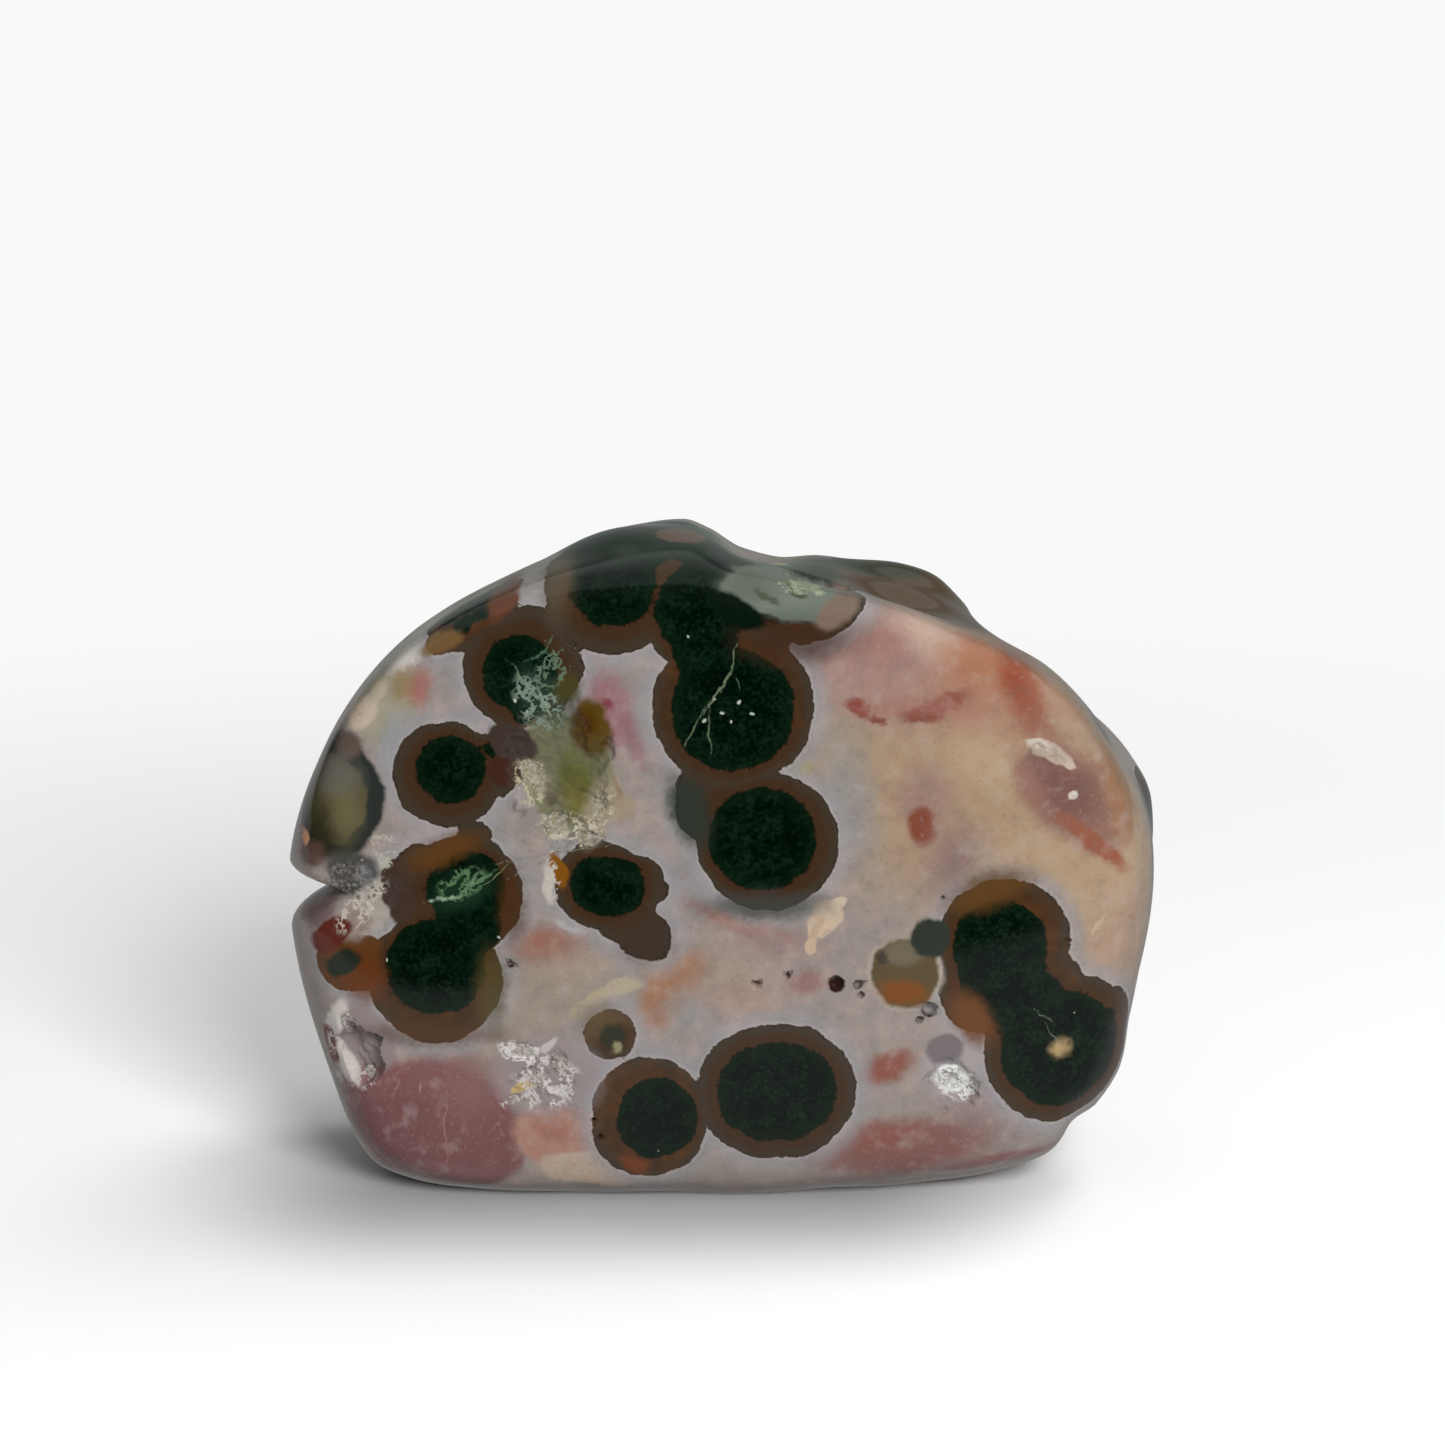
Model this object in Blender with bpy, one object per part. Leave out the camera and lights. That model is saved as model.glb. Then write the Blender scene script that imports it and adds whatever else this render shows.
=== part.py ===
"""Ocean jasper half moon: one polished stone that stands on its flat sawn base.

Millimetres in the tables below, metres in the scene. +Z is up, +X runs along the
stone, the polished front face looks towards -Y, and the base lies on z = 0.
"""

import math

import bmesh
import bpy
import numpy as np
from mathutils import Matrix, Vector, noise

MM = 0.001

# Every outline is measured as a radius about this height, on the line x = 0.
CENTRE_Z = 30.0

# Turns the tables' millimetres into metres, with the stone's box centred over x = 0.
PLACE = Matrix.Scale(MM, 4) @ Matrix.Translation((-0.46, 0.0, 0.0))

# Depth of the faces, from the middle plane of the stone.
FRONT_Y = -12.9
BACK_Y = 12.9

# Edge of the flat front face, (x, z), clockwise from above the cleft on the left.
FRONT_OUTLINE = [
    (-38.2, 33.0), (-37.2, 38.4), (-35.2, 43.6), (-32.4, 48.0), (-28.7, 52.0), (-24.4, 55.0),
    (-19.4, 57.4), (-14.4, 59.0), (-7.5, 59.8), (-2.0, 59.8), (2.4, 58.7), (7.0, 58.0),
    (12.2, 57.1), (16.6, 55.6), (21.1, 53.7), (25.2, 52.0), (28.7, 49.8), (31.8, 46.6),
    (34.5, 42.4), (36.7, 38.0), (37.8, 33.0), (37.6, 28.4), (36.7, 23.4), (35.7, 17.2),
    (34.6, 13.0), (33.4, 10.6), (31.6, 9.0), (30.9, 5.6), (25.6, 3.8), (16.4, 2.3),
    (7.0, 1.3), (-2.0, 1.1), (-11.4, 1.1), (-20.4, 1.2), (-26.0, 1.9), (-29.8, 3.4),
    (-32.2, 5.6), (-33.6, 9.4), (-35.1, 15.0), (-36.7, 21.0), (-37.9, 27.0),
]

# Widest line of the stone, half way through its thickness.
GIRTH_OUTLINE = [
    (-40.0, 31.0), (-38.8, 36.0), (-37.2, 40.0), (-35.2, 44.0), (-32.4, 48.0), (-29.1, 51.4),
    (-25.2, 54.2), (-20.3, 56.8), (-14.6, 59.2), (-7.6, 60.7), (-3.0, 60.9), (1.6, 59.1),
    (7.0, 57.6), (12.8, 56.3), (17.2, 55.0), (21.8, 53.1), (26.0, 51.0), (30.0, 48.7),
    (33.5, 45.1), (36.2, 41.0), (38.5, 36.8), (39.8, 32.0), (39.9, 27.6), (39.0, 21.0),
    (38.1, 16.0), (36.9, 9.8), (35.3, 7.2), (32.6, 5.6), (31.1, 2.9), (26.0, 0.6),
    (18.0, -0.7), (8.0, -1.2), (-4.0, -1.5), (-16.0, -1.4), (-24.0, -0.9), (-29.6, 0.0),
    (-33.2, 1.8), (-35.0, 5.0), (-36.9, 10.6), (-38.5, 16.0), (-39.8, 22.4), (-40.2, 27.0),
]

# Edge of the back face, with the rear hump and the wide shoulder on the right.
BACK_OUTLINE = [
    (-38.0, 30.0), (-37.2, 35.0), (-35.6, 39.6), (-33.2, 43.6), (-30.0, 47.4), (-26.1, 50.8),
    (-21.2, 54.0), (-16.2, 56.6), (-13.4, 58.2), (-8.0, 59.8), (-3.6, 60.3), (-1.4, 59.5),
    (1.8, 57.6), (5.0, 56.7), (9.2, 56.8), (13.0, 56.2), (16.8, 55.3), (20.4, 54.0),
    (22.8, 52.2), (23.8, 49.0), (27.0, 46.4), (31.6, 43.9), (35.4, 41.0), (38.2, 37.6),
    (40.2, 33.8), (40.7, 29.0), (39.6, 23.0), (38.0, 17.0), (36.0, 11.0), (33.4, 6.0),
    (28.0, 2.8), (20.0, 0.8), (8.0, -0.6), (-4.0, -1.0), (-16.0, -0.6), (-24.0, 0.6),
    (-29.6, 3.0), (-33.0, 7.0), (-35.4, 13.0), (-37.0, 20.0),
]

# Section through the stone: share of one outline's radius, which outline, and depth.
FRONT, GIRTH, BACK = 0, 1, 2
SECTION = [
    (0.00, FRONT, FRONT_Y), (0.45, FRONT, FRONT_Y), (0.80, FRONT, -12.55), (0.96, FRONT, -12.0),
    (1.00, FRONT, -10.7), (1.00, GIRTH, -6.0), (1.00, GIRTH, 0.0), (1.00, BACK, 6.0),
    (1.00, BACK, 10.2), (0.95, BACK, 11.9), (0.80, BACK, 12.5), (0.45, BACK, BACK_Y),
    (0.00, BACK, BACK_Y),
]
RINGS = [1.0, 2.0, 2.6, 3.0, 3.35, 3.7, 4.0, 4.3, 4.65, 5.0, 5.5, 6.0, 6.5, 7.0, 7.4, 7.8,
         8.2, 8.6, 9.0, 9.5, 10.0, 11.0]

# Columns of the mesh stand closer where the outline turns sharply: angle, reach, step.
COLUMN_STEP = 3.4
CLOSE_COLUMNS = [(184.0, 10.0, 1.1), (-40.0, 8.0, 1.8), (47.0, 8.0, 1.9), (92.0, 8.0, 2.4)]

# The cleft on the left side, a wedge that sinks towards the back: at three depths y
# its angle and how deep it goes, and how far its two walls reach from its floor.
CLEFT_Y = (-12.0, 0.0, 12.0)
CLEFT_ANGLE = (180.2, 182.9, 185.4)
CLEFT_DEPTH = (4.0, 5.0, 2.6)
CLEFT_ABOVE = 3.6
CLEFT_BELOW = 6.4

# Lumps and hollows of the sides: angle, depth y, reach of each, height over the side.
SIDE_LUMPS = [
    ("rear hump", 56.0, 7.5, 13.0, 5.0, 1.0),
    ("valley before the rear hump", 57.0, -2.0, 12.0, 5.0, -1.4),
    ("dome of the top left eye", 108.0, 1.0, 13.0, 9.0, 0.7),
    ("hollow of the skyline", 84.0, 3.0, 9.0, 8.0, -0.6),
    ("hollow of the left foot", 214.0, 2.0, 12.0, 8.0, -0.5),
    ("right shoulder", 10.0, 7.0, 15.0, 6.0, 0.5),
]

# Rough pockets and chips: centre (x, y, z), half sizes, turn about Y in degrees.
POCKETS = [
    ("crumbly hollow", (-14.6, -13.3, 41.4), (5.2, 1.5, 6.4), -12.0),
    ("left pocket", (-33.8, -11.9, 14.2), (3.0, 2.0, 3.1), 30.0),
    ("white crust", (-16.2, -13.5, 11.4), (4.0, 1.3, 3.4), 18.0),
    ("white vug", (21.0, -13.3, 11.6), (2.5, 1.9, 2.9), -15.0),
    ("flake scar", (29.8, -12.9, 43.0), (2.9, 1.1, 1.4), -12.0),
    ("crumbly ledge", (9.2, -5.0, 58.4), (4.4, 3.2, 1.6), 6.0),
    ("back hollow", (12.0, 13.4, 38.0), (5.0, 1.6, 3.6), 25.0),
    ("back pit", (-19.0, 13.2, 22.0), (3.0, 1.5, 2.4), -20.0),
]
POCKET_ROUGHNESS = 0.22

# The flat facet on the brow is a shallow slice of a large ball: a point on the edge,
# the way that the facet looks out, the ball's radius and how deep the slice goes.
FACET_POINT = (6.2, -11.7, 57.6)
FACET_NORMAL = (0.10, -0.72, 0.69)
FACET_BALL = 34.0
FACET_DEPTH = 0.9


def spread(distance, reach):
    """One at the middle, easing to nothing at the reach."""
    return np.clip(1.0 - (distance / reach) ** 2, 0.0, 1.0) ** 2


def angle_from(theta, middle):
    """Signed angle from middle to theta, in degrees."""
    return (np.degrees(theta) - middle + 180.0) % 360.0 - 180.0


def radius_of(outline):
    """Radius against angle through an outline's points, with no overshoot between them."""
    corners = sorted((math.atan2(z - CENTRE_Z, x) % math.tau, math.hypot(x, z - CENTRE_Z))
                     for x, z in outline)
    angles = np.array([corner[0] for corner in corners])
    radii = np.array([corner[1] for corner in corners])
    gaps = np.append(np.diff(angles), angles[0] + math.tau - angles[-1])
    rises = (np.roll(radii, -1) - radii) / gaps
    before = np.roll(rises, 1)
    same_way = rises * before > 0.0
    total = np.where(same_way, rises + before, 1.0)
    slopes = np.where(same_way, 2.0 * rises * before / total, 0.0)

    def radius(theta):
        place = np.mod(theta, math.tau)
        index = np.searchsorted(angles, place, side="right") - 1
        after = (index + 1) % len(angles)
        gap = gaps[index]
        share = np.mod(place - angles[index], math.tau) / gap
        left = 1.0 - share
        return (radii[index] * left * left * (1.0 + 2.0 * share)
                + slopes[index] * gap * share * left * left
                + radii[after] * share * share * (3.0 - 2.0 * share)
                - slopes[after] * gap * share * share * left)

    return radius


def section_point(theta, place, outlines):
    """Radius and depth of the smooth section at an angle; place runs front to back."""
    step = int(min(place, len(SECTION) - 1.001))
    share = place - step
    weights = ((1.0 - share) ** 3, 3.0 * share ** 3 - 6.0 * share ** 2 + 4.0,
               -3.0 * share ** 3 + 3.0 * share ** 2 + 3.0 * share + 1.0, share ** 3)
    radius = 0.0
    depth = 0.0
    for offset, weight in enumerate(weights):
        index = step + offset - 1
        mirrored = index < 0 or index >= len(SECTION)
        portion, outline, y = SECTION[1 if index < 0 else -2 if mirrored else index]
        side = -1.0 if mirrored else 1.0
        radius = radius + side * weight / 6.0 * portion * outlines[outline](theta)
        depth = depth + weight / 6.0 * y
    return radius, depth


def side_relief(theta, depth):
    """Height of the lumps and hollows over the plain side."""
    height = 0.0
    for _, angle, y, angle_reach, depth_reach, lift in SIDE_LUMPS:
        away = np.hypot(angle_from(theta, angle) / angle_reach, (depth - y) / depth_reach)
        height = height + lift * spread(away, 1.0)
    return height


def cleft(theta, depth):
    """How deep the wedge of the cleft goes at an angle and a depth."""
    away = angle_from(theta, np.interp(depth, CLEFT_Y, CLEFT_ANGLE))
    reach = np.where(away < 0.0, CLEFT_ABOVE, CLEFT_BELOW)
    wedge = np.clip(1.0 - np.abs(away) / reach, 0.0, 1.0)
    return wedge * np.interp(depth, CLEFT_Y, CLEFT_DEPTH)


def surface_point(theta, place, outlines):
    """Point of the stone's skin, in millimetres, before the base is sawn."""
    radius, depth = section_point(theta, place, outlines)
    rim = outlines[FRONT](theta)
    outwards = np.clip(radius / rim, 0.0, 1.0)
    radius = radius + side_relief(theta, depth) * outwards ** 8
    radius = radius - cleft(theta, depth) * outwards ** 4
    return (radius * math.cos(theta), depth, CENTRE_Z + radius * math.sin(theta))


def column_angles():
    """Angles of the mesh's columns, closer together near the sharp features."""
    angles = []
    degrees = 0.0
    while degrees < 360.0:
        angles.append(math.radians(degrees))
        step = COLUMN_STEP
        for middle, reach, close_step in CLOSE_COLUMNS:
            if abs((degrees - middle + 180.0) % 360.0 - 180.0) < reach:
                step = min(step, close_step)
        degrees += step
    return angles


def stone_mesh():
    """Rings of the section bridged into one closed skin, then sawn flat at the base."""
    outlines = [radius_of(FRONT_OUTLINE), radius_of(GIRTH_OUTLINE), radius_of(BACK_OUTLINE)]
    angles = column_angles()
    skin = bmesh.new()
    loops = []
    for place in RINGS:
        loops.append([skin.verts.new(PLACE @ Vector(surface_point(angle, place, outlines)))
                      for angle in angles])
    front_middle = skin.verts.new(PLACE @ Vector(surface_point(0.0, 0.0, outlines)))
    back_place = len(SECTION) - 1.0
    back_middle = skin.verts.new(PLACE @ Vector(surface_point(0.0, back_place, outlines)))
    count = len(angles)
    for near, far in zip(loops, loops[1:]):
        for index in range(count):
            after = (index + 1) % count
            skin.faces.new((near[index], near[after], far[after], far[index]))
    for index in range(count):
        after = (index + 1) % count
        skin.faces.new((front_middle, loops[0][after], loops[0][index]))
        skin.faces.new((back_middle, loops[-1][index], loops[-1][after]))
    cut = bmesh.ops.bisect_plane(skin, geom=skin.verts[:] + skin.edges[:] + skin.faces[:],
                                 plane_co=(0, 0, 0), plane_no=(0, 0, -1), clear_outer=True)
    rim = [edge for edge in cut["geom_cut"] if isinstance(edge, bmesh.types.BMEdge)]
    bmesh.ops.edgeloop_fill(skin, edges=rim)
    bmesh.ops.triangulate(skin, faces=skin.faces[:])
    bmesh.ops.dissolve_degenerate(skin, edges=skin.edges[:], dist=0.05 * MM)
    bmesh.ops.recalc_face_normals(skin, faces=skin.faces[:])
    mesh = bpy.data.meshes.new("half_moon")
    skin.to_mesh(mesh)
    skin.free()
    return mesh


def stone_material():
    """Polished chalcedony: pale lilac and pink ground between dark green eyes."""
    material = bpy.data.materials.new("polished_jasper")
    material.use_nodes = True
    shader = material.node_tree.nodes["Principled BSDF"]
    shader.inputs["Base Color"].default_value = (0.47, 0.36, 0.33, 1.0)
    shader.inputs["Roughness"].default_value = 0.12
    shader.inputs["Metallic"].default_value = 0.0
    return material


def pocket_cutter(name, middle, half_size, turn):
    """Uneven bowl that is cut out of the stone."""
    bowl = bmesh.new()
    bmesh.ops.create_icosphere(bowl, subdivisions=2, radius=1.0)
    for vert in bowl.verts:
        swell = noise.noise(vert.co * 1.7 + Vector(middle) * 0.37)
        vert.co *= 1.0 + POCKET_ROUGHNESS * swell
    sizes = Matrix.Diagonal(Vector(half_size).to_4d())
    turned = Matrix.Translation(middle) @ Matrix.Rotation(math.radians(turn), 4, "Y")
    bmesh.ops.transform(bowl, matrix=PLACE @ turned @ sizes, verts=bowl.verts)
    mesh = bpy.data.meshes.new(name)
    bowl.to_mesh(mesh)
    bowl.free()
    cutter = bpy.data.objects.new(name, mesh)
    cutter.hide_render = True
    cutter.display_type = "WIRE"
    bpy.context.scene.collection.objects.link(cutter)
    return cutter


def facet_cutter():
    """Ball whose lowest part shaves the brow."""
    normal = Vector(FACET_NORMAL).normalized()
    middle = Vector(FACET_POINT) + normal * (FACET_BALL - FACET_DEPTH)
    ball = bmesh.new()
    bmesh.ops.create_uvsphere(ball, u_segments=96, v_segments=48, radius=FACET_BALL)
    turned = Matrix.Translation(middle) @ normal.to_track_quat("X", "Z").to_matrix().to_4x4()
    bmesh.ops.transform(ball, matrix=PLACE @ turned, verts=ball.verts)
    mesh = bpy.data.meshes.new("brow_facet")
    ball.to_mesh(mesh)
    ball.free()
    cutter = bpy.data.objects.new("brow_facet_cutter", mesh)
    cutter.hide_render = True
    cutter.display_type = "WIRE"
    bpy.context.scene.collection.objects.link(cutter)
    return cutter


def make_half_moon():
    """The whole stone, with its pockets cut by Booleans."""
    mesh = stone_mesh()
    mesh.materials.append(stone_material())
    stone = bpy.data.objects.new("half_moon", mesh)
    bpy.context.scene.collection.objects.link(stone)
    cutters = [facet_cutter()]
    for name, middle, half_size, turn in POCKETS:
        cutters.append(pocket_cutter(name.replace(" ", "_") + "_cutter", middle, half_size, turn))
    for cutter in cutters:
        cut = stone.modifiers.new(cutter.name, "BOOLEAN")
        cut.operation = "DIFFERENCE"
        cut.solver = "EXACT"
        cut.object = cutter
    mesh.shade_smooth()
    mesh.set_sharp_from_angle(angle=math.radians(40.0))
    return stone


def main():
    for thing in list(bpy.data.objects):
        bpy.data.objects.remove(thing, do_unlink=True)
    make_half_moon()


main()
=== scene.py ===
"""Ocean jasper half moon: the polished stone, the crumbs in its pockets, and its stage.

The tables below are in stone millimetres: x runs along the stone, z up from the base,
and y goes through it from the polished face, which looks towards -y, to the back.
"""

import math

import bmesh
import bpy
import numpy as np
from bpy.props import FloatProperty, FloatVectorProperty, IntProperty, PointerProperty
from mathutils import Matrix, Vector, noise


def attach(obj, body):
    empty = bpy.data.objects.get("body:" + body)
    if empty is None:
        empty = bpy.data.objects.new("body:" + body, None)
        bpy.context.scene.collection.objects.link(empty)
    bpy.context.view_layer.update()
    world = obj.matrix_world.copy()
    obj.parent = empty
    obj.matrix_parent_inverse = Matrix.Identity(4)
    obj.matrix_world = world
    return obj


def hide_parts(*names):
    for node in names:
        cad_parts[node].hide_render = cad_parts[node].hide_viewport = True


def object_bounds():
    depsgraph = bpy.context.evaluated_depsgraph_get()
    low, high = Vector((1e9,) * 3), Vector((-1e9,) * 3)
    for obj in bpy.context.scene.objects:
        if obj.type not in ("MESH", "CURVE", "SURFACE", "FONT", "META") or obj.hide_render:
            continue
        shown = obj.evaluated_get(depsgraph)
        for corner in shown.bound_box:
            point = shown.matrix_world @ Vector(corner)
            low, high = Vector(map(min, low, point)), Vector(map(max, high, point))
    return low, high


bl_info = {
    "name": "Ocean jasper half moon",
    "version": (1, 0, 0),
    "blender": (4, 5, 0),
    "location": "3D View > Sidebar > Half moon",
    "description": "Builds a polished half-moon stone of orbicular jasper on a plain stage",
    "category": "Object",
}

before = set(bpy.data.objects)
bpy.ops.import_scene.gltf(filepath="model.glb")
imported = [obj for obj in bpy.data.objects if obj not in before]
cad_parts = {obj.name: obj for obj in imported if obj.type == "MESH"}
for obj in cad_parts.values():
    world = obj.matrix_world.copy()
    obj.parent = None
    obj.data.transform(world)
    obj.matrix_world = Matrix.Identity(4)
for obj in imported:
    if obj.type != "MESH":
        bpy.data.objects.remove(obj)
CAD_LOW, CAD_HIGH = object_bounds()

MM = 0.001
CENTRE_Z = 30.0
SHIFT_X = -0.46
PLACE = Matrix.Scale(MM, 4) @ Matrix.Translation((SHIFT_X, 0.0, 0.0))
FRONT_Y = -12.9
BACK_Y = 12.9
FACE_Y = -12.6

# Edge of the flat front face, (x, z), clockwise from above the cleft on the left.
FRONT_OUTLINE = [
    (-38.2, 33.0), (-37.2, 38.4), (-35.2, 43.6), (-32.4, 48.0), (-28.7, 52.0), (-24.4, 55.0),
    (-19.4, 57.4), (-14.4, 59.0), (-7.5, 59.8), (-2.0, 59.8), (2.4, 58.7), (7.0, 58.0),
    (12.2, 57.1), (16.6, 55.6), (21.1, 53.7), (25.2, 52.0), (28.7, 49.8), (31.8, 46.6),
    (34.5, 42.4), (36.7, 38.0), (37.8, 33.0), (37.6, 28.4), (36.7, 23.4), (35.7, 17.2),
    (34.6, 13.0), (33.4, 10.6), (31.6, 9.0), (30.9, 5.6), (25.6, 3.8), (16.4, 2.3),
    (7.0, 1.3), (-2.0, 1.1), (-11.4, 1.1), (-20.4, 1.2), (-26.0, 1.9), (-29.8, 3.4),
    (-32.2, 5.6), (-33.6, 9.4), (-35.1, 15.0), (-36.7, 21.0), (-37.9, 27.0),
]

# Widest line of the stone, half way through its thickness.
GIRTH_OUTLINE = [
    (-40.0, 31.0), (-38.8, 36.0), (-37.2, 40.0), (-35.2, 44.0), (-32.4, 48.0), (-29.1, 51.4),
    (-25.2, 54.2), (-20.3, 56.8), (-14.6, 59.2), (-7.6, 60.7), (-3.0, 60.9), (1.6, 59.1),
    (7.0, 57.6), (12.8, 56.3), (17.2, 55.0), (21.8, 53.1), (26.0, 51.0), (30.0, 48.7),
    (33.5, 45.1), (36.2, 41.0), (38.5, 36.8), (39.8, 32.0), (39.9, 27.6), (39.0, 21.0),
    (38.1, 16.0), (36.9, 9.8), (35.3, 7.2), (32.6, 5.6), (31.1, 2.9), (26.0, 0.6),
    (18.0, -0.7), (8.0, -1.2), (-4.0, -1.5), (-16.0, -1.4), (-24.0, -0.9), (-29.6, 0.0),
    (-33.2, 1.8), (-35.0, 5.0), (-36.9, 10.6), (-38.5, 16.0), (-39.8, 22.4), (-40.2, 27.0),
]

# Edge of the back face, with the rear hump and the wide shoulder on the right.
BACK_OUTLINE = [
    (-38.0, 30.0), (-37.2, 35.0), (-35.6, 39.6), (-33.2, 43.6), (-30.0, 47.4), (-26.1, 50.8),
    (-21.2, 54.0), (-16.2, 56.6), (-13.4, 58.2), (-8.0, 59.8), (-3.6, 60.3), (-1.4, 59.5),
    (1.8, 57.6), (5.0, 56.7), (9.2, 56.8), (13.0, 56.2), (16.8, 55.3), (20.4, 54.0),
    (22.8, 52.2), (23.8, 49.0), (27.0, 46.4), (31.6, 43.9), (35.4, 41.0), (38.2, 37.6),
    (40.2, 33.8), (40.7, 29.0), (39.6, 23.0), (38.0, 17.0), (36.0, 11.0), (33.4, 6.0),
    (28.0, 2.8), (20.0, 0.8), (8.0, -0.6), (-4.0, -1.0), (-16.0, -0.6), (-24.0, 0.6),
    (-29.6, 3.0), (-33.0, 7.0), (-35.4, 13.0), (-37.0, 20.0),
]

# Section through the stone: share of one outline's radius, which outline, and depth.
FRONT, GIRTH, BACK = 0, 1, 2
SECTION = [
    (0.00, FRONT, FRONT_Y), (0.45, FRONT, FRONT_Y), (0.80, FRONT, -12.55), (0.96, FRONT, -12.0),
    (1.00, FRONT, -10.7), (1.00, GIRTH, -6.0), (1.00, GIRTH, 0.0), (1.00, BACK, 6.0),
    (1.00, BACK, 10.2), (0.95, BACK, 11.9), (0.80, BACK, 12.5), (0.45, BACK, BACK_Y),
    (0.00, BACK, BACK_Y),
]

# The cleft on the left side, a wedge that sinks towards the back: at three depths y
# its angle and how deep it goes, and how far its two walls reach from its floor.
CLEFT_Y = (-12.0, 0.0, 12.0)
CLEFT_ANGLE = (180.2, 182.9, 185.4)
CLEFT_DEPTH = (4.0, 5.0, 2.6)
CLEFT_ABOVE = 3.6
CLEFT_BELOW = 6.4

# Lumps and hollows of the sides: angle, depth y, reach of each, height over the side.
SIDE_LUMPS = [
    ("rear hump", 56.0, 7.5, 13.0, 5.0, 1.0),
    ("valley before the rear hump", 57.0, -2.0, 12.0, 5.0, -1.4),
    ("dome of the top left eye", 108.0, 1.0, 13.0, 9.0, 0.7),
    ("hollow of the skyline", 84.0, 3.0, 9.0, 8.0, -0.6),
    ("hollow of the left foot", 214.0, 2.0, 12.0, 8.0, -0.5),
    ("right shoulder", 10.0, 7.0, 15.0, 6.0, 0.5),
]

# Rough pockets and chips: centre (x, y, z), half sizes, turn about Y in degrees.
POCKETS = [
    ("crumbly hollow", (-14.6, -13.3, 41.4), (5.2, 1.5, 6.4), -12.0),
    ("left pocket", (-33.8, -11.9, 14.2), (3.0, 2.0, 3.1), 30.0),
    ("white crust", (-16.2, -13.5, 11.4), (4.0, 1.3, 3.4), 18.0),
    ("white vug", (21.0, -13.3, 11.6), (2.5, 1.9, 2.9), -15.0),
    ("flake scar", (29.8, -12.9, 43.0), (2.9, 1.1, 1.4), -12.0),
    ("crumbly ledge", (9.2, -5.0, 58.4), (4.4, 3.2, 1.6), 6.0),
    ("back hollow", (12.0, 13.4, 38.0), (5.0, 1.6, 3.6), 25.0),
    ("back pit", (-19.0, 13.2, 22.0), (3.0, 1.5, 2.4), -20.0),
]

# The flat facet on the brow is a shallow slice of a large ball: a point on the edge,
# the way that the facet looks out, the ball's radius and how deep the slice goes.
FACET_POINT = (6.2, -11.7, 57.6)
FACET_NORMAL = (0.10, -0.72, 0.69)
FACET_BALL = 34.0
FACET_DEPTH = 0.9


def spread(distance, reach):
    """One at the middle, easing to nothing at the reach."""
    return np.clip(1.0 - (distance / reach) ** 2, 0.0, 1.0) ** 2


def angle_from(theta, middle):
    """Signed angle from middle to theta, in degrees."""
    return (np.degrees(theta) - middle + 180.0) % 360.0 - 180.0


def radius_of(outline):
    """Radius against angle through an outline's points, with no overshoot between them."""
    corners = sorted((math.atan2(z - CENTRE_Z, x) % math.tau, math.hypot(x, z - CENTRE_Z))
                     for x, z in outline)
    angles = np.array([corner[0] for corner in corners])
    radii = np.array([corner[1] for corner in corners])
    gaps = np.append(np.diff(angles), angles[0] + math.tau - angles[-1])
    rises = (np.roll(radii, -1) - radii) / gaps
    before = np.roll(rises, 1)
    same_way = rises * before > 0.0
    total = np.where(same_way, rises + before, 1.0)
    slopes = np.where(same_way, 2.0 * rises * before / total, 0.0)

    def radius(theta):
        place = np.mod(theta, math.tau)
        index = np.searchsorted(angles, place, side="right") - 1
        after = (index + 1) % len(angles)
        gap = gaps[index]
        share = np.mod(place - angles[index], math.tau) / gap
        left = 1.0 - share
        return (radii[index] * left * left * (1.0 + 2.0 * share)
                + slopes[index] * gap * share * left * left
                + radii[after] * share * share * (3.0 - 2.0 * share)
                - slopes[after] * gap * share * share * left)

    return radius


def section_point(theta, place, outlines):
    """Radius and depth of the smooth section at an angle; place runs front to back."""
    step = int(min(place, len(SECTION) - 1.001))
    share = place - step
    weights = ((1.0 - share) ** 3, 3.0 * share ** 3 - 6.0 * share ** 2 + 4.0,
               -3.0 * share ** 3 + 3.0 * share ** 2 + 3.0 * share + 1.0, share ** 3)
    radius = 0.0
    depth = 0.0
    for offset, weight in enumerate(weights):
        index = step + offset - 1
        mirrored = index < 0 or index >= len(SECTION)
        portion, outline, y = SECTION[1 if index < 0 else -2 if mirrored else index]
        side = -1.0 if mirrored else 1.0
        radius = radius + side * weight / 6.0 * portion * outlines[outline](theta)
        depth = depth + weight / 6.0 * y
    return radius, depth


def side_relief(theta, depth):
    """Height of the lumps and hollows over the plain side."""
    height = 0.0
    for _, angle, y, angle_reach, depth_reach, lift in SIDE_LUMPS:
        away = np.hypot(angle_from(theta, angle) / angle_reach, (depth - y) / depth_reach)
        height = height + lift * spread(away, 1.0)
    return height


def cleft(theta, depth):
    """How deep the wedge of the cleft goes at an angle and a depth."""
    away = angle_from(theta, np.interp(depth, CLEFT_Y, CLEFT_ANGLE))
    reach = np.where(away < 0.0, CLEFT_ABOVE, CLEFT_BELOW)
    wedge = np.clip(1.0 - np.abs(away) / reach, 0.0, 1.0)
    return wedge ** CLEFT_CURVE * np.interp(depth, CLEFT_Y, CLEFT_DEPTH)


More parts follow.
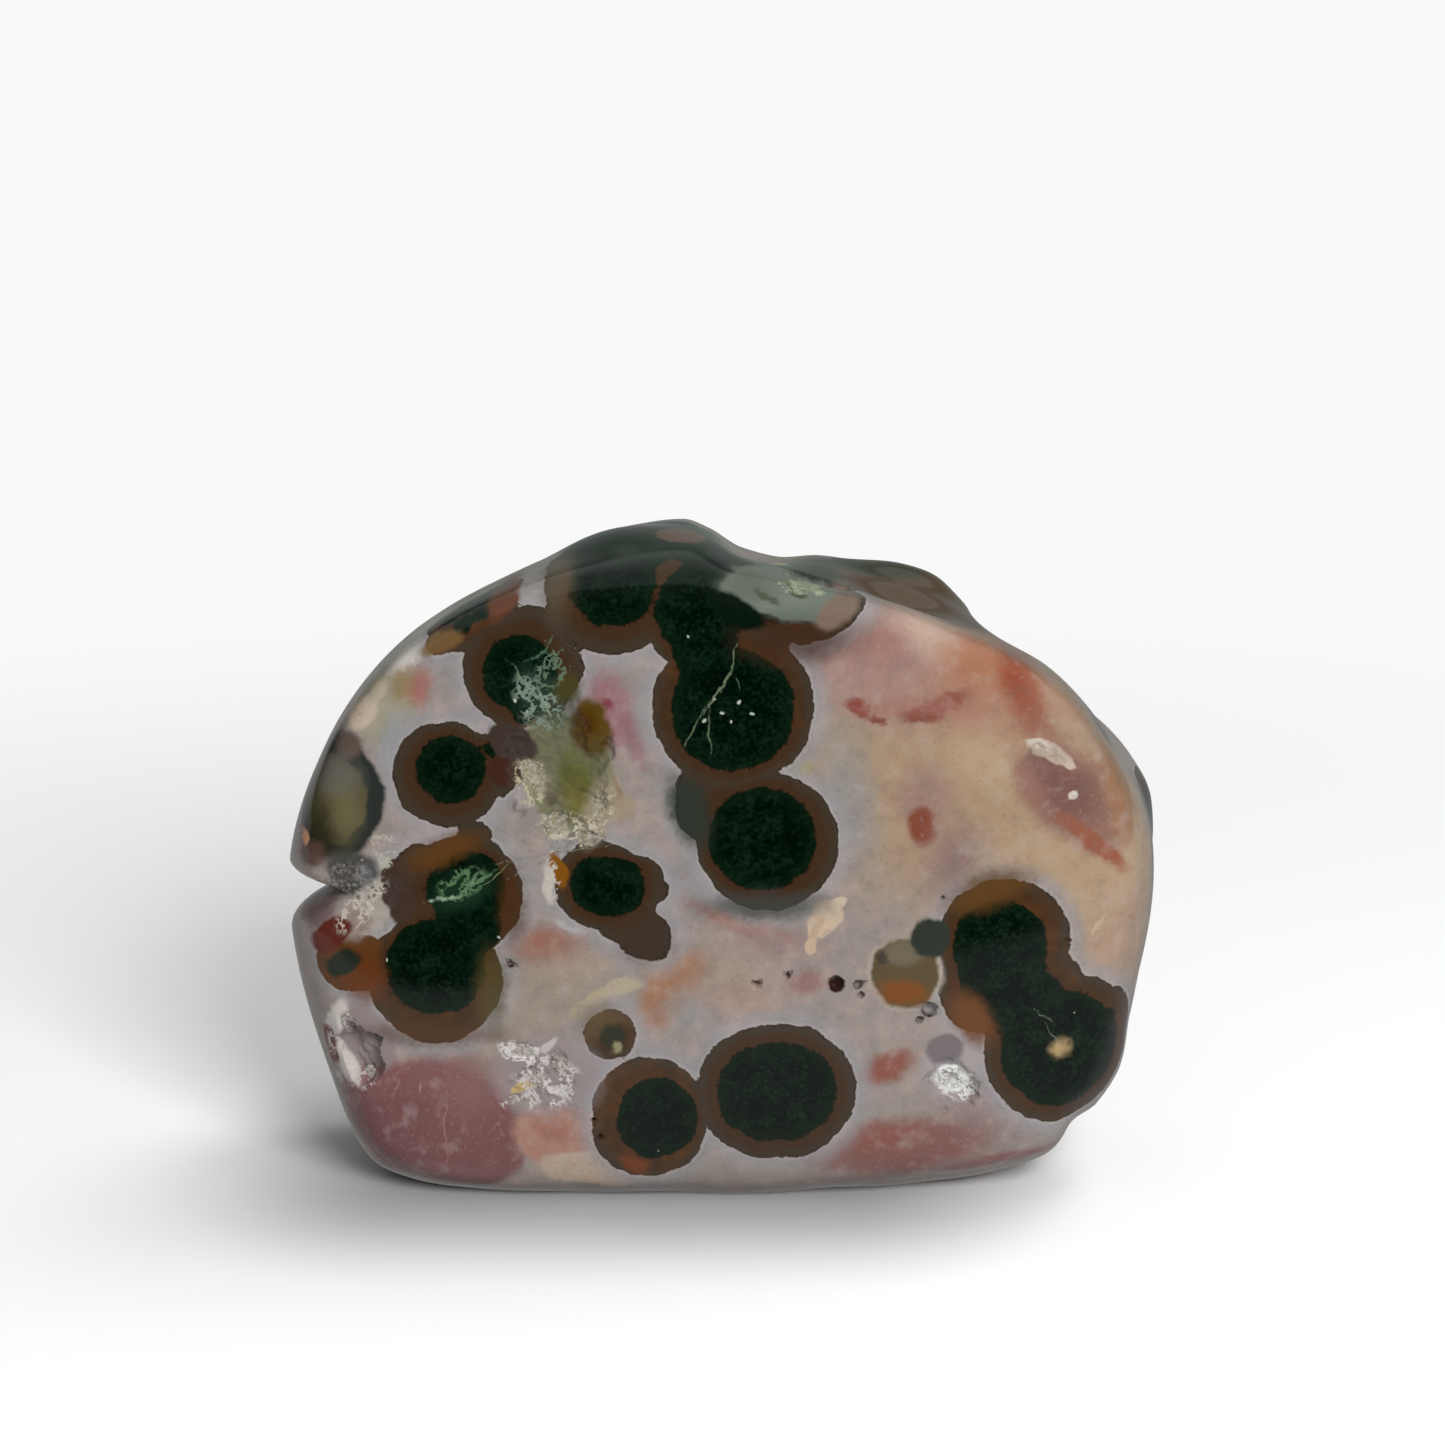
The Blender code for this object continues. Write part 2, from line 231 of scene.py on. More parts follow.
# Eyes: name, how rusty (below zero smoky), then hearts and rims as balls that the face
# cuts, each (x, z, radius) on the face.
EYES = [
    ("top left", 0.1,
     [(-9.8, 58.5, 3.7)],
     [(-9.8, 57.9, 5.8)]),
    ("top middle", 0.1,
     [(-2, 56, 3.9), (-1.5, 52.6, 3)],
     [(-2, 54.9, 4.6)]),
    ("big pair upper", 0.35,
     [(0.9, 47.1, 5.6)],
     [(0.9, 47.3, 7.3)]),
    ("big pair lower", -0.1,
     [(3.6, 35.2, 4.9)],
     [(4.1, 34.9, 6.5), (-0.9, 38, 3.4), (-2.2, 39.9, 2.2)]),
    ("brow", 0,
     [(5.8, 60, 5.1)],
     [(6.9, 59.4, 6.3)]),
    ("left edge long", 0.5,
     [(-24.9, 54, 1.1), (-23.5, 55.4, 1.5), (-22, 56.6, 1.6), (-20.6, 57.5, 1.2)],
     [(-25.5, 53.5, 1.5), (-24, 54.6, 2.2), (-22.2, 55.9, 2.7), (-20.5, 57, 2.2),
      (-19.1, 58.2, 1.5)]),
    ("crystal", -0.2,
     [(-18, 50.3, 3.4), (-17.4, 47.6, 1.8)],
     [(-18, 50.6, 5.1), (-17.1, 54, 2.4), (-14.3, 50.9, 2)]),
    ("maroon", 0,
     [(-24.3, 41.6, 3.1), (-20.7, 43.5, 0.7)],
     [(-24.6, 41.1, 4.9), (-20.8, 42.9, 2), (-19.2, 43.8, 2), (-17.8, 42.7, 1.1),
      (-19.9, 40.4, 1.3), (-22.4, 35.4, 1.6), (-20.9, 33.9, 1.1)]),
    ("left pair upper", 0.3,
     [(-23.1, 30.5, 3.6), (-23, 27.1, 3.1)],
     [(-23.5, 29.9, 5.6), (-28.9, 31.7, 1.6), (-27.4, 33, 1.8)]),
    ("left pair lower", 0.45,
     [(-25.9, 23.1, 4.5)],
     [(-26, 22, 6.1)]),
    ("left foot", 0.9,
     [(-34.8, 23.4, 0.7), (-34.1, 23.8, 0.7)],
     [(-34.7, 23.2, 2.4), (-33.3, 23.3, 2.7), (-32.3, 24.2, 1.8)]),
    ("spade", 0,
     [(-11.1, 30.9, 2.8), (-9.6, 30.7, 2.8)],
     [(-11.1, 30.9, 4.2), (-7.8, 31.1, 2.7), (-6.1, 30.4, 1.4), (-8.8, 28, 2.9), (-7, 26.1, 2.5),
      (-6.2, 24.9, 1.5)]),
    ("little brown", 0.5,
     [(-10, 16.7, 1.2)],
     [(-10.2, 16.8, 2.5)]),
    ("bottom left", 0.5,
     [(-6, 9, 3.6), (-6, 8.4, 3.6)],
     [(-6.8, 9.4, 5.2), (-6.8, 8.1, 5.2)]),
    ("bottom middle", 0.1,
     [(4.2, 11.2, 4.7), (5.7, 11.2, 4.7)],
     [(4.2, 11.3, 6.5), (5.7, 11.3, 6.5)]),
    ("right pair upper", 0.5,
     [(25.1, 25.2, 4.3), (25.4, 22.3, 4), (27.5, 19.5, 3.5)],
     [(25.4, 25.5, 6), (23.8, 20.9, 4.2), (28.8, 20.9, 4)]),
    ("right pair lower", 0.35,
     [(30.8, 15.2, 5.4)],
     [(30.9, 15.2, 7.1)]),
]

# Ground: name, middle (x, z), half size, turn about Y, colour as it shows, strength, softness.
GROUND_MARKINGS = [
    ("beige field", (24.0, 38.8), (16.6, 10.3), 12, (168, 142, 114), 0.95, 0.45),
    ("low beige field", (32.7, 30.4), (7.2, 10.8), 8, (176, 150, 122), 0.85, 0.5),
    ("warm right edge", (36.0, 23.8), (3.6, 5.4), 0, (166, 138, 118), 0.6, 0.5),
    ("pink brow field", (14.5, 52.1), (8.5, 5.5), 20, (163, 128, 119), 0.9, 0.5),
    ("pink blush", (14.2, 53.5), (2.3, 2.1), 40, (160, 112, 104), 0.55, 0.8),
    ("pale brow corner", (12.9, 56.7), (2.7, 2.3), 30, (150, 128, 118), 0.7, 0.5),
    ("pale brow band", (19.8, 53.5), (2.3, 5.3), -50, (196, 168, 150), 0.8, 0.6),
    ("orange swath", (23.4, 50.9), (3.9, 3.7), 20, (166, 110, 78), 0.9, 0.6),
    ("salmon field", (22.5, 46.9), (5.4, 2.7), 20, (170, 128, 108), 0.7, 0.7),
    ("orange red swath", (27.0, 48.9), (1.8, 3.9), -25, (148, 76, 52), 1, 0.6),
    ("orange red tail", (28.7, 44.8), (1.4, 3.6), -30, (150, 105, 92), 0.6, 0.8),
    ("outer orange", (30.6, 48.0), (1.8, 3.6), -35, (172, 134, 110), 0.7, 0.7),
    ("red bead one", (12.0, 47.4), (1.3, 0.7), 15, (122, 52, 42), 1, 0.45),
    ("red bead two", (13.9, 46.2), (0.8, 0.4), 20, (118, 56, 46), 0.9, 0.5),
    ("red bead three", (17.7, 46.7), (1.8, 0.7), 0, (122, 58, 46), 1, 0.5),
    ("red bead four", (20.1, 47.8), (2.0, 0.7), -25, (132, 70, 58), 0.9, 0.6),
    ("red bead row", (16.3, 47.3), (5.4, 0.9), -2, (160, 110, 98), 0.6, 0.8),
    ("cream streak", (23.5, 42.5), (2.9, 2.1), 25, (186, 160, 130), 0.7, 0.8),
    ("red spot smoke", (18.1, 38.8), (2.2, 3.1), 0, (146, 116, 112), 0.7, 0.8),
    ("red spot", (17.9, 36.4), (1.3, 1.7), -15, (130, 70, 52), 1, 0.3),
    ("purple smoke", (20.9, 33.0), (2.3, 3.2), 20, (132, 108, 110), 0.8, 0.9),
    ("rose eye", (31.9, 38.8), (6.3, 3.8), 42, (142, 106, 92), 0.95, 0.25),
    ("rose eye inside", (30.5, 39.7), (3.8, 2.3), 42, (122, 86, 80), 0.95, 0.5),
    ("rose eye rim", (33.3, 34.8), (4.1, 0.8), 36, (150, 90, 70), 1, 0.4),
    ("rose eye right rim", (35.5, 38.8), (1.1, 4.1), -12, (156, 116, 88), 0.8, 0.6),
    ("rose eye left rim", (27.6, 40.2), (0.9, 3.0), -28, (152, 112, 100), 0.7, 0.7),
    ("white flake", (29.3, 43.2), (2.3, 0.8), 22, (186, 166, 150), 1, 0.14),
    ("white flake edge", (28.4, 43.8), (1.4, 0.4), 20, (204, 190, 176), 1, 0.2),
    ("white flake tip", (30.9, 42.5), (1.1, 0.4), 40, (196, 178, 162), 1, 0.2),
    ("white bead", (31.5, 39.1), (0.4, 0.4), 0, (205, 196, 186), 1, 0.3),
    ("grey right band", (36.3, 42.5), (1.1, 5.4), -28, (158, 146, 130), 0.7, 0.6),
    ("greenish beige", (-29.9, 47.6), (2.7, 3.6), 42, (160, 154, 132), 0.9, 0.4),
    ("cream left edge", (-32.2, 46.5), (1.1, 1.8), 36, (196, 180, 160), 1, 0.25),
    ("cream left edge high", (-30.9, 48.4), (0.7, 1.1), 40, (184, 172, 150), 0.9, 0.3),
    ("pale skyline left", (-26.9, 52.6), (3.6, 0.9), -40, (214, 208, 198), 1, 0.5),
    ("blue white left", (-29.6, 43.9), (1.1, 2.7), 10, (142, 146, 150), 0.8, 0.6),
    ("olive spot", (-28.3, 48.9), (1.2, 1.6), 20, (142, 120, 82), 0.8, 0.6),
    ("rose spot", (-26.9, 49.1), (0.9, 1.8), 10, (162, 98, 94), 0.75, 0.7),
    ("rose patch", (-10.2, 47.3), (1.8, 3.7), -12, (148, 104, 110), 0.9, 0.5),
    ("rose dark spot", (-10.3, 47.8), (0.6, 0.5), 0, (118, 52, 62), 0.85, 0.6),
    ("rose streak", (-8.0, 44.8), (0.8, 3.0), -22, (140, 96, 104), 0.7, 0.7),
    ("rose fleck", (-11.3, 49.4), (0.5, 0.9), 0, (140, 92, 98), 0.7, 0.7),
    ("deep pink foot", (-27.3, 7.7), (9.2, 6.2), 6, (121, 79, 80), 1, 0.1),
    ("deep pink foot low", (-23.9, 5.3), (5.5, 4.2), 0, (121, 79, 80), 1, 0.1),
    ("paler foot top", (-25.8, 12.1), (6.4, 2.4), 0, (132, 94, 94), 0.6, 0.7),
    ("foot red smoke", (-27.2, 12.8), (4.6, 1.5), -6, (128, 84, 82), 0.8, 0.8),
    ("foot dark cloud", (-29.5, 8.9), (3.7, 2.7), -30, (112, 70, 72), 0.6, 0.8),
    ("foot pale cloud", (-23.1, 10.9), (2.2, 2.4), 20, (134, 96, 94), 0.5, 0.8),
    ("foot grey belt", (-26.9, 3.0), (7.3, 0.9), 4, (128, 96, 94), 0.7, 0.6),
    ("peach foot", (-14.9, 6.7), (4.2, 3.1), 10, (170, 128, 112), 1, 0.15),
    ("peach red", (-15.6, 7.7), (2.7, 1.1), 20, (158, 108, 92), 0.8, 0.5),
    ("cream foot", (-12.0, 3.4), (5.0, 1.8), 6, (182, 162, 144), 1, 0.12),
    ("salmon blotch", (-16.0, 25.0), (3.3, 1.8), -4, (148, 92, 74), 1, 0.7),
    ("peach diagonal", (-4.6, 20.9), (2.2, 4.5), 42, (154, 110, 82), 1, 0.3),
    ("peach corner", (-5.7, 23.8), (1.6, 2.4), 10, (154, 114, 84), 0.9, 0.4),
    ("beige middle", (-16.1, 20.0), (5.8, 4.7), 0, (150, 138, 124), 0.8, 0.7),
    ("warm white", (-12.5, 23.6), (4.0, 1.5), -10, (160, 142, 128), 0.7, 0.6),
    ("lilac under pair", (1.1, 22.3), (3.8, 4.5), 0, (160, 142, 130), 0.7, 0.7),
    ("blue white", (11.4, 38.8), (2.3, 5.7), -10, (142, 141, 138), 0.8, 0.7),
    ("blue white low", (-3.0, 19.0), (2.7, 2.0), 0, (140, 140, 139), 0.7, 0.7),
    ("red dashes", (-0.9, 28.3), (3.3, 0.6), 28, (152, 104, 92), 0.85, 0.7),
    ("red dashes low", (3.6, 26.6), (4.2, 0.7), 12, (150, 114, 108), 0.7, 0.8),
    ("pink under pair", (4.8, 25.2), (3.6, 1.4), 10, (150, 124, 122), 0.6, 0.8),
    ("pink blotch", (7.6, 21.7), (1.8, 1.1), -8, (146, 104, 100), 0.8, 0.6),
    ("pink by crystal", (1.6, 20.0), (3.6, 1.5), 10, (164, 132, 118), 0.5, 0.8),
    ("pink red blotch", (15.0, 13.6), (2.4, 1.4), -28, (138, 84, 72), 1, 0.45),
    ("lower pink", (16.7, 5.5), (8.4, 2.8), -8, (128, 86, 82), 0.95, 0.45),
    ("lower red", (14.4, 6.5), (3.7, 1.6), -10, (136, 86, 76), 0.8, 0.7),
    ("lower right pale", (28.6, 6.5), (3.1, 2.0), 0, (142, 130, 126), 0.8, 0.5),
    ("lower mauve", (23.1, 10.4), (3.7, 2.4), 0, (140, 120, 120), 0.6, 0.8),
    ("pink lip", (25.5, 4.0), (5.5, 0.8), -12, (138, 88, 88), 0.8, 0.5),
    ("base white", (2.1, 2.6), (10.1, 1.5), -3, (146, 136, 128), 0.8, 0.5),
    ("pale under spade", (-2.0, 30.8), (2.3, 2.3), 0, (140, 137, 140), 0.6, 0.7),
    ("cream chip", (9.2, 27.7), (1.4, 1.9), 30, (198, 176, 151), 1, 0.12),
    ("cream chip tip", (8.1, 25.3), (0.5, 1.1), 20, (192, 168, 142), 1, 0.15),
    ("cream chip shade", (8.6, 27.0), (0.5, 0.9), 30, (176, 148, 120), 0.7, 0.5),
    ("cream chip crown", (10.3, 29.2), (0.9, 0.5), -30, (208, 190, 166), 1, 0.2),
    ("cream crust", (-11.9, 19.8), (2.2, 0.8), -35, (178, 162, 126), 0.9, 0.25),
    ("cream crust high", (-9.1, 21.3), (1.8, 0.8), -25, (172, 160, 136), 1, 0.3),
    ("cream notch", (6.8, 41.7), (1.1, 0.7), 0, (150, 142, 98), 1, 0.3),
    ("white line by spade", (-13.8, 27.0), (1.3, 0.4), 20, (190, 184, 178), 0.9, 0.5),
    ("pale crumb one", (-15.0, 36.1), (1.3, 0.8), 0, (196, 188, 166), 1, 0.15),
    ("pale crumb two", (-11.9, 35.2), (1.3, 0.7), -25, (178, 170, 150), 1, 0.15),
    ("brown between crumbs", (-13.1, 35.4), (0.8, 0.8), -20, (96, 72, 60), 1, 0.2),
    ("rust by the pocket", (-9.5, 39.7), (0.4, 1.4), -8, (138, 96, 66), 0.9, 0.3),
    ("pale by the pocket", (-9.0, 38.2), (0.9, 1.1), 0, (160, 142, 116), 0.8, 0.4),
]

# Markings that lie over the eyes, in the same order.
OVER_MARKINGS = [
    ("smoky eye rim", (-34.9, 38.8), (4.5, 5.7), 0, (46, 50, 47), 1, 0.06),
    ("smoky eye brown top", (-33.7, 43.6), (1.3, 1.2), 0, (96, 82, 74), 1, 0.3),
    ("smoky eye", (-35.0, 38.6), (3.1, 4.1), 0, (86, 80, 58), 1, 0.06),
    ("smoky eye top", (-34.8, 40.8), (2.3, 1.8), 0, (104, 102, 94), 0.8, 0.6),
    ("smoky eye low", (-36.0, 35.5), (2.0, 2.2), 0, (42, 38, 24), 0.9, 0.7),
    ("smoky eye glow", (-33.9, 37.4), (1.4, 2.3), 0, (112, 106, 74), 0.7, 0.8),
    ("smoky eye pink", (-37.2, 33.5), (1.4, 1.3), 20, (88, 66, 58), 0.9, 0.5),
    # A painted highlight: the orange glint on the curved edge of the smoky eye.
    ("orange bead", (-37.7, 35.0), (0.4, 0.7), 10, (196, 140, 100), 1, 0.3),
    ("left rough grey", (-33.4, 31.9), (2.5, 2.0), 20, (74, 72, 66), 1, 0.25),
    ("left blue grey", (-32.3, 31.7), (0.8, 1.1), 0, (98, 100, 104), 0.8, 0.5),
    ("left lip", (-36.7, 28.3), (1.8, 2.2), 30, (112, 92, 92), 0.9, 0.4),
    ("left matrix", (-31.7, 28.7), (1.8, 3.8), 40, (166, 158, 148), 1, 0.18),
    ("left matrix pink", (-33.2, 27.1), (1.3, 1.8), 30, (140, 118, 112), 0.8, 0.5),
    ("dark red patch", (-35.5, 25.8), (2.2, 1.3), -38, (92, 42, 34), 1, 0.15),
    ("amethyst pocket", (-32.6, 15.9), (2.7, 3.3), -20, (140, 127, 128), 1, 0.15),
    ("amethyst rim", (-35.4, 17.5), (0.9, 2.4), 15, (206, 198, 192), 1, 0.25),
    ("amethyst rim low", (-34.4, 13.1), (0.8, 2.0), -20, (204, 196, 190), 1, 0.3),
    ("left red pit", (-36.0, 14.6), (0.7, 2.2), -10, (104, 50, 42), 1, 0.2),
    ("crumbly olive", (-13.8, 41.4), (4.0, 5.6), -18, (116, 116, 88), 1, 0.08),
    ("crumbly pale", (-15.8, 43.2), (2.0, 2.3), 0, (108, 106, 78), 0.9, 0.6),
    ("crumbly green", (-12.9, 40.2), (1.5, 3.0), -12, (92, 92, 34), 0.95, 0.7),
    ("crumbly amber", (-11.7, 45.4), (1.7, 2.7), -14, (88, 68, 24), 1, 0.25),
    ("crumbly amber heart", (-12.3, 46.0), (1.1, 1.3), 0, (76, 48, 6), 0.9, 0.6),
    ("crumbly yellow", (-13.2, 38.6), (0.9, 1.4), 0, (112, 104, 48), 0.7, 0.7),
    ("crumbly shade", (-15.3, 38.8), (0.7, 0.6), 20, (90, 80, 66), 0.9, 0.4),
    ("crumbly white rim", (-11.0, 38.2), (1.3, 3.1), 20, (158, 146, 122), 0.85, 0.6),
    ("crumbly white left", (-17.3, 40.8), (1.3, 2.2), -35, (152, 142, 112), 0.9, 0.5),
    ("lace field", (-15.9, 12.8), (4.2, 3.8), 10, (146, 134, 136), 0.85, 0.4),
    ("white blob", (-18.4, 15.1), (1.5, 0.6), 10, (200, 195, 192), 1, 0.12),
    ("yellow fleck", (-18.4, 11.6), (1.0, 0.5), -18, (190, 166, 110), 0.95, 0.2),
    ("white curl", (-15.9, 15.6), (1.1, 0.4), -30, (190, 184, 180), 0.9, 0.3),
    ("white curl low", (-15.2, 11.1), (1.3, 0.4), 30, (196, 190, 186), 0.9, 0.3),
    ("vug pale ring", (20.8, 13.4), (2.7, 3.3), -10, (160, 152, 152), 1, 0.25),
    ("vug violet", (20.2, 15.2), (1.8, 1.4), -10, (118, 108, 110), 1, 0.2),
    ("vug white", (21.0, 12.1), (1.8, 1.3), 24, (236, 238, 237), 1, 0.15),
    ("vug core", (20.8, 11.9), (0.7, 0.7), 20, (176, 174, 172), 0.8, 0.5),
    ("amber eye edge", (16.6, 22.6), (3.4, 3.7), -15, (170, 160, 148), 1, 0.1),
    ("amber eye", (16.6, 22.5), (3.0, 3.4), -15, (90, 76, 50), 1, 0.08),
    ("amber eye top", (16.5, 24.7), (2.0, 1.2), 0, (112, 104, 86), 0.9, 0.5),
    ("amber eye low", (16.4, 20.7), (2.2, 1.2), 8, (124, 72, 28), 0.95, 0.4),
    ("amber eye spot", (14.6, 24.1), (0.6, 0.5), 0, (66, 60, 54), 0.9, 0.4),
    ("grey lobe", (18.8, 25.9), (1.8, 2.0), -20, (50, 56, 48), 1, 0.12),
    ("orange by spade", (-14.8, 32.2), (0.7, 1.6), -8, (126, 78, 20), 1, 0.2),
    ("white by spade", (-15.7, 30.9), (0.5, 1.8), 0, (186, 178, 168), 1, 0.25),
    ("chocolate part", (-29.4, 30.1), (1.4, 3.1), -8, (66, 50, 42), 1, 0.12),
    ("orange ring top", (-25.0, 34.1), (3.2, 1.2), -20, (96, 62, 28), 0.85, 0.6),
    ("orange ring right", (-19.0, 28.9), (1.1, 3.6), 0, (74, 46, 22), 0.7, 0.7),
    ("olive ring right", (-20.9, 20.9), (1.3, 3.3), 0, (82, 72, 42), 0.8, 0.7),
    ("orange ring low", (-26.2, 16.7), (5.5, 1.1), 0, (84, 54, 28), 0.7, 0.7),
    ("orange pair left", (22.7, 18.2), (1.6, 2.7), -30, (108, 66, 36), 0.9, 0.5),
    ("olive pair top", (24.1, 30.5), (3.8, 1.6), -15, (96, 66, 32), 0.85, 0.6),
    ("brow belly", (6.9, 53.5), (4.6, 2.0), 0, (66, 42, 28), 0.8, 0.7),
    # The lens and the next two markings are a painted reflection: the grey-green sheen that the brow
    # facet mirrors.
    ("lens", (5.8, 57.4), (6.0, 2.1), 8, (112, 120, 108), 1, 0.07),
    ("lens left", (2.3, 57.9), (2.5, 1.1), 14, (92, 100, 86), 0.8, 0.5),
    ("lens low", (6.9, 55.7), (2.7, 0.7), 4, (96, 104, 94), 0.7, 0.5),
    ("lens pink end", (10.2, 56.0), (2.3, 1.2), -30, (124, 104, 92), 1, 0.3),
    ("lens scratch", (3.9, 57.1), (1.2, 0.3), 30, (70, 72, 58), 0.8, 0.4),
    ("brown of the brow corner", (11.8, 58.0), (1.2, 1.1), 30, (86, 64, 54), 1, 0.3),
    ("dark above the lens", (5.5, 60.1), (5.8, 1.3), 0, (24, 36, 24), 1, 0.15),
    ("lens heel", (1.2, 56.0), (3.0, 1.1), 30, (8, 22, 14), 1, 0.25),
    ("lens crumb shade", (6.5, 57.7), (1.1, 0.3), 30, (60, 72, 50), 0.9, 0.3),
    ("lens crumb low", (8.5, 57.7), (0.7, 0.4), 0, (160, 168, 138), 1, 0.2),
    ("lens crumb", (7.1, 58.2), (1.6, 0.7), 14, (142, 154, 122), 1, 0.2),
    ("grey ring left", (-2.9, 37.7), (1.8, 3.4), -15, (46, 54, 46), 0.9, 0.4),
    ("grey ring low", (3.8, 29.0), (5.4, 1.3), 0, (64, 66, 61), 0.8, 0.6),
    ("left foot orange", (-32.7, 22.3), (2.0, 2.5), 0, (98, 52, 22), 0.85, 0.5),
    ("left foot eye heart", (-34.6, 23.3), (1.7, 1.1), -28, (36, 42, 32), 1, 0.2),
    ("maroon spike", (-19.5, 41.4), (1.6, 1.4), 20, (64, 38, 30), 0.95, 0.25),
    ("grey brown chunk", (-18.8, 44.0), (2.3, 1.6), 30, (64, 52, 46), 1, 0.12),
    ("little brown face", (-11.1, 17.9), (2.0, 1.6), 0, (100, 82, 56), 0.7, 0.8),
    ("little brown heart", (-10.0, 16.6), (1.3, 1.3), 0, (46, 46, 33), 0.9, 0.4),
    ("little brown fleck", (-9.7, 15.6), (0.5, 0.5), 0, (150, 148, 110), 0.8, 0.5),
    ("sooty spade", (-7.0, 25.8), (2.2, 2.2), 0, (64, 52, 44), 0.6, 0.6),
    ("long eye tan", (-25.1, 53.0), (2.1, 0.8), -32, (116, 88, 52), 0.9, 0.3),
    ("long eye red", (-19.2, 57.5), (1.1, 2.7), 34, (104, 60, 42), 0.9, 0.3),
    ("crystal sweep", (-15.8, 48.0), (2.0, 3.0), -35, (52, 70, 60), 0.6, 0.5),
    ("olive tail", (-13.9, 48.9), (1.2, 1.6), 10, (70, 66, 32), 0.9, 0.5),
    ("vein field", (-23.5, 30.2), (2.9, 1.6), -20, (34, 62, 42), 0.55, 0.5),
    ("bottom left amber", (-8.1, 4.0), (1.3, 0.7), 20, (118, 62, 36), 0.8, 0.5),
    # A painted highlight: the warm soft spot in the heart of the lower right eye.
    ("cream spot", (30.8, 15.2), (0.8, 0.8), 0, (176, 150, 108), 0.95, 0.8),
]

# Cracks and crystal blades: name, from, to, half width, colour as it shows.
STREAKS = [
    ("crack one", (1.4, 52.8), (0.6, 50.9), 0.08, (104, 118, 92)),
    ("crack two", (0.6, 50.9), (-0.2, 48.9), 0.09, (110, 124, 98)),
    ("crack three", (-0.2, 48.9), (-1.5, 47.0), 0.10, (120, 132, 106)),
    ("crack four", (-1.5, 47.0), (-3.4, 44.1), 0.10, (104, 116, 88)),
    ("crack branch", (-1.3, 46.6), (-1.1, 43.2), 0.08, (96, 112, 88)),
    ("crack fork", (1.0, 50.0), (1.3, 48.7), 0.06, (80, 100, 76)),
    ("vein one", (-26.4, 29.4), (-23.5, 29.8), 0.21, (150, 172, 146)),
    ("vein two", (-23.5, 29.8), (-20.8, 32.1), 0.17, (96, 130, 92)),
    ("vein three", (-24.8, 30.7), (-22.8, 32.4), 0.19, (70, 104, 74)),
    ("vein four", (-21.7, 30.9), (-19.0, 32.8), 0.08, (104, 112, 76)),
    ("vein five", (-19.0, 32.8), (-10.7, 34.9), 0.08, (132, 124, 106)),
    ("vein six", (-22.8, 30.4), (-22.0, 32.1), 0.16, (110, 140, 108)),
    ("crystal one", (-18.3, 50.9), (-15.8, 47.5), 0.14, (112, 132, 112)),
    ("crystal three", (-17.1, 51.7), (-15.1, 53.5), 0.15, (78, 108, 84)),
    ("crystal four", (-16.3, 48.9), (-15.2, 46.2), 0.15, (150, 164, 140)),
    ("crystal six", (-16.8, 46.5), (-15.2, 45.3), 0.17, (130, 146, 126)),
    ("foot crack", (-25.0, 12.1), (-25.7, 2.8), 0.08, (148, 112, 110)),
    ("foot line", (-29.6, 11.9), (-30.0, 10.9), 0.08, (160, 126, 124)),
    ("foot line two", (-27.6, 12.1), (-27.8, 10.8), 0.08, (158, 124, 122)),
    ("right crack", (28.6, 19.0), (29.8, 17.9), 0.07, (104, 112, 98)),
    ("right crack low", (29.6, 17.5), (30.9, 15.9), 0.07, (100, 108, 94)),
    ("seam", (-14.6, 34.1), (-18.3, 32.1), 0.08, (165, 152, 140)),
    ("pale ridge", (33.4, 25.8), (34.7, 27.7), 0.20, (186, 168, 140)),
]

# White beads in the quartz, (x, z, radius).
WHITE_BEADS = [
    (-0.8, 47.8, 0.15), (-0.0, 46.8, 0.17), (0.9, 45.9, 0.12), (1.4, 47.7, 0.16),
    (2.6, 46.9, 0.16), (-1.5, 46.2, 0.13), (-3.1, 53.8, 0.17), (-22.7, 49.8, 0.23),
    (-18.8, 53.3, 0.20), (-17.0, 53.5, 0.15), (-18.0, 52.1, 0.12), (-18.6, 48.0, 0.16),
    (5.0, 23.7, 0.23), (32.2, 18.6, 0.25), (34.7, 16.3, 0.29), (-37.3, 38.5, 0.16),
    (-37.4, 36.7, 0.13), (-29.5, 25.6, 0.18), (-30.5, 23.9, 0.16), (-20.4, 26.2, 0.15),
    (-6.0, 5.4, 0.14), (33.6, 15.0, 0.11), (-15.8, 53.5, 0.15), (-17.5, 46.9, 0.16),
]

# Small dark pits, (x, z, radius).
PITS = [
    (-17.5, 10.3, 0.46), (10.3, 21.5, 0.77), (12.3, 21.5, 0.45), (12.6, 20.5, 0.36),
    (18.8, 19.0, 0.73), (17.9, 18.1, 0.36), (27.1, 7.4, 0.46), (26.0, 6.1, 0.37),
    (31.3, 25.5, 0.41), (-19.2, 23.4, 0.33), (-27.2, 53.0, 0.32), (3.1, 21.6, 0.32),
    (5.9, 22.3, 0.27), (-11.2, 6.7, 0.31), (-11.8, 8.4, 0.27), (8.5, 2.9, 0.32),
    (10.6, 58.8, 0.35), (19.9, 29.6, 0.22), (-17.6, 13.4, 0.20),
]

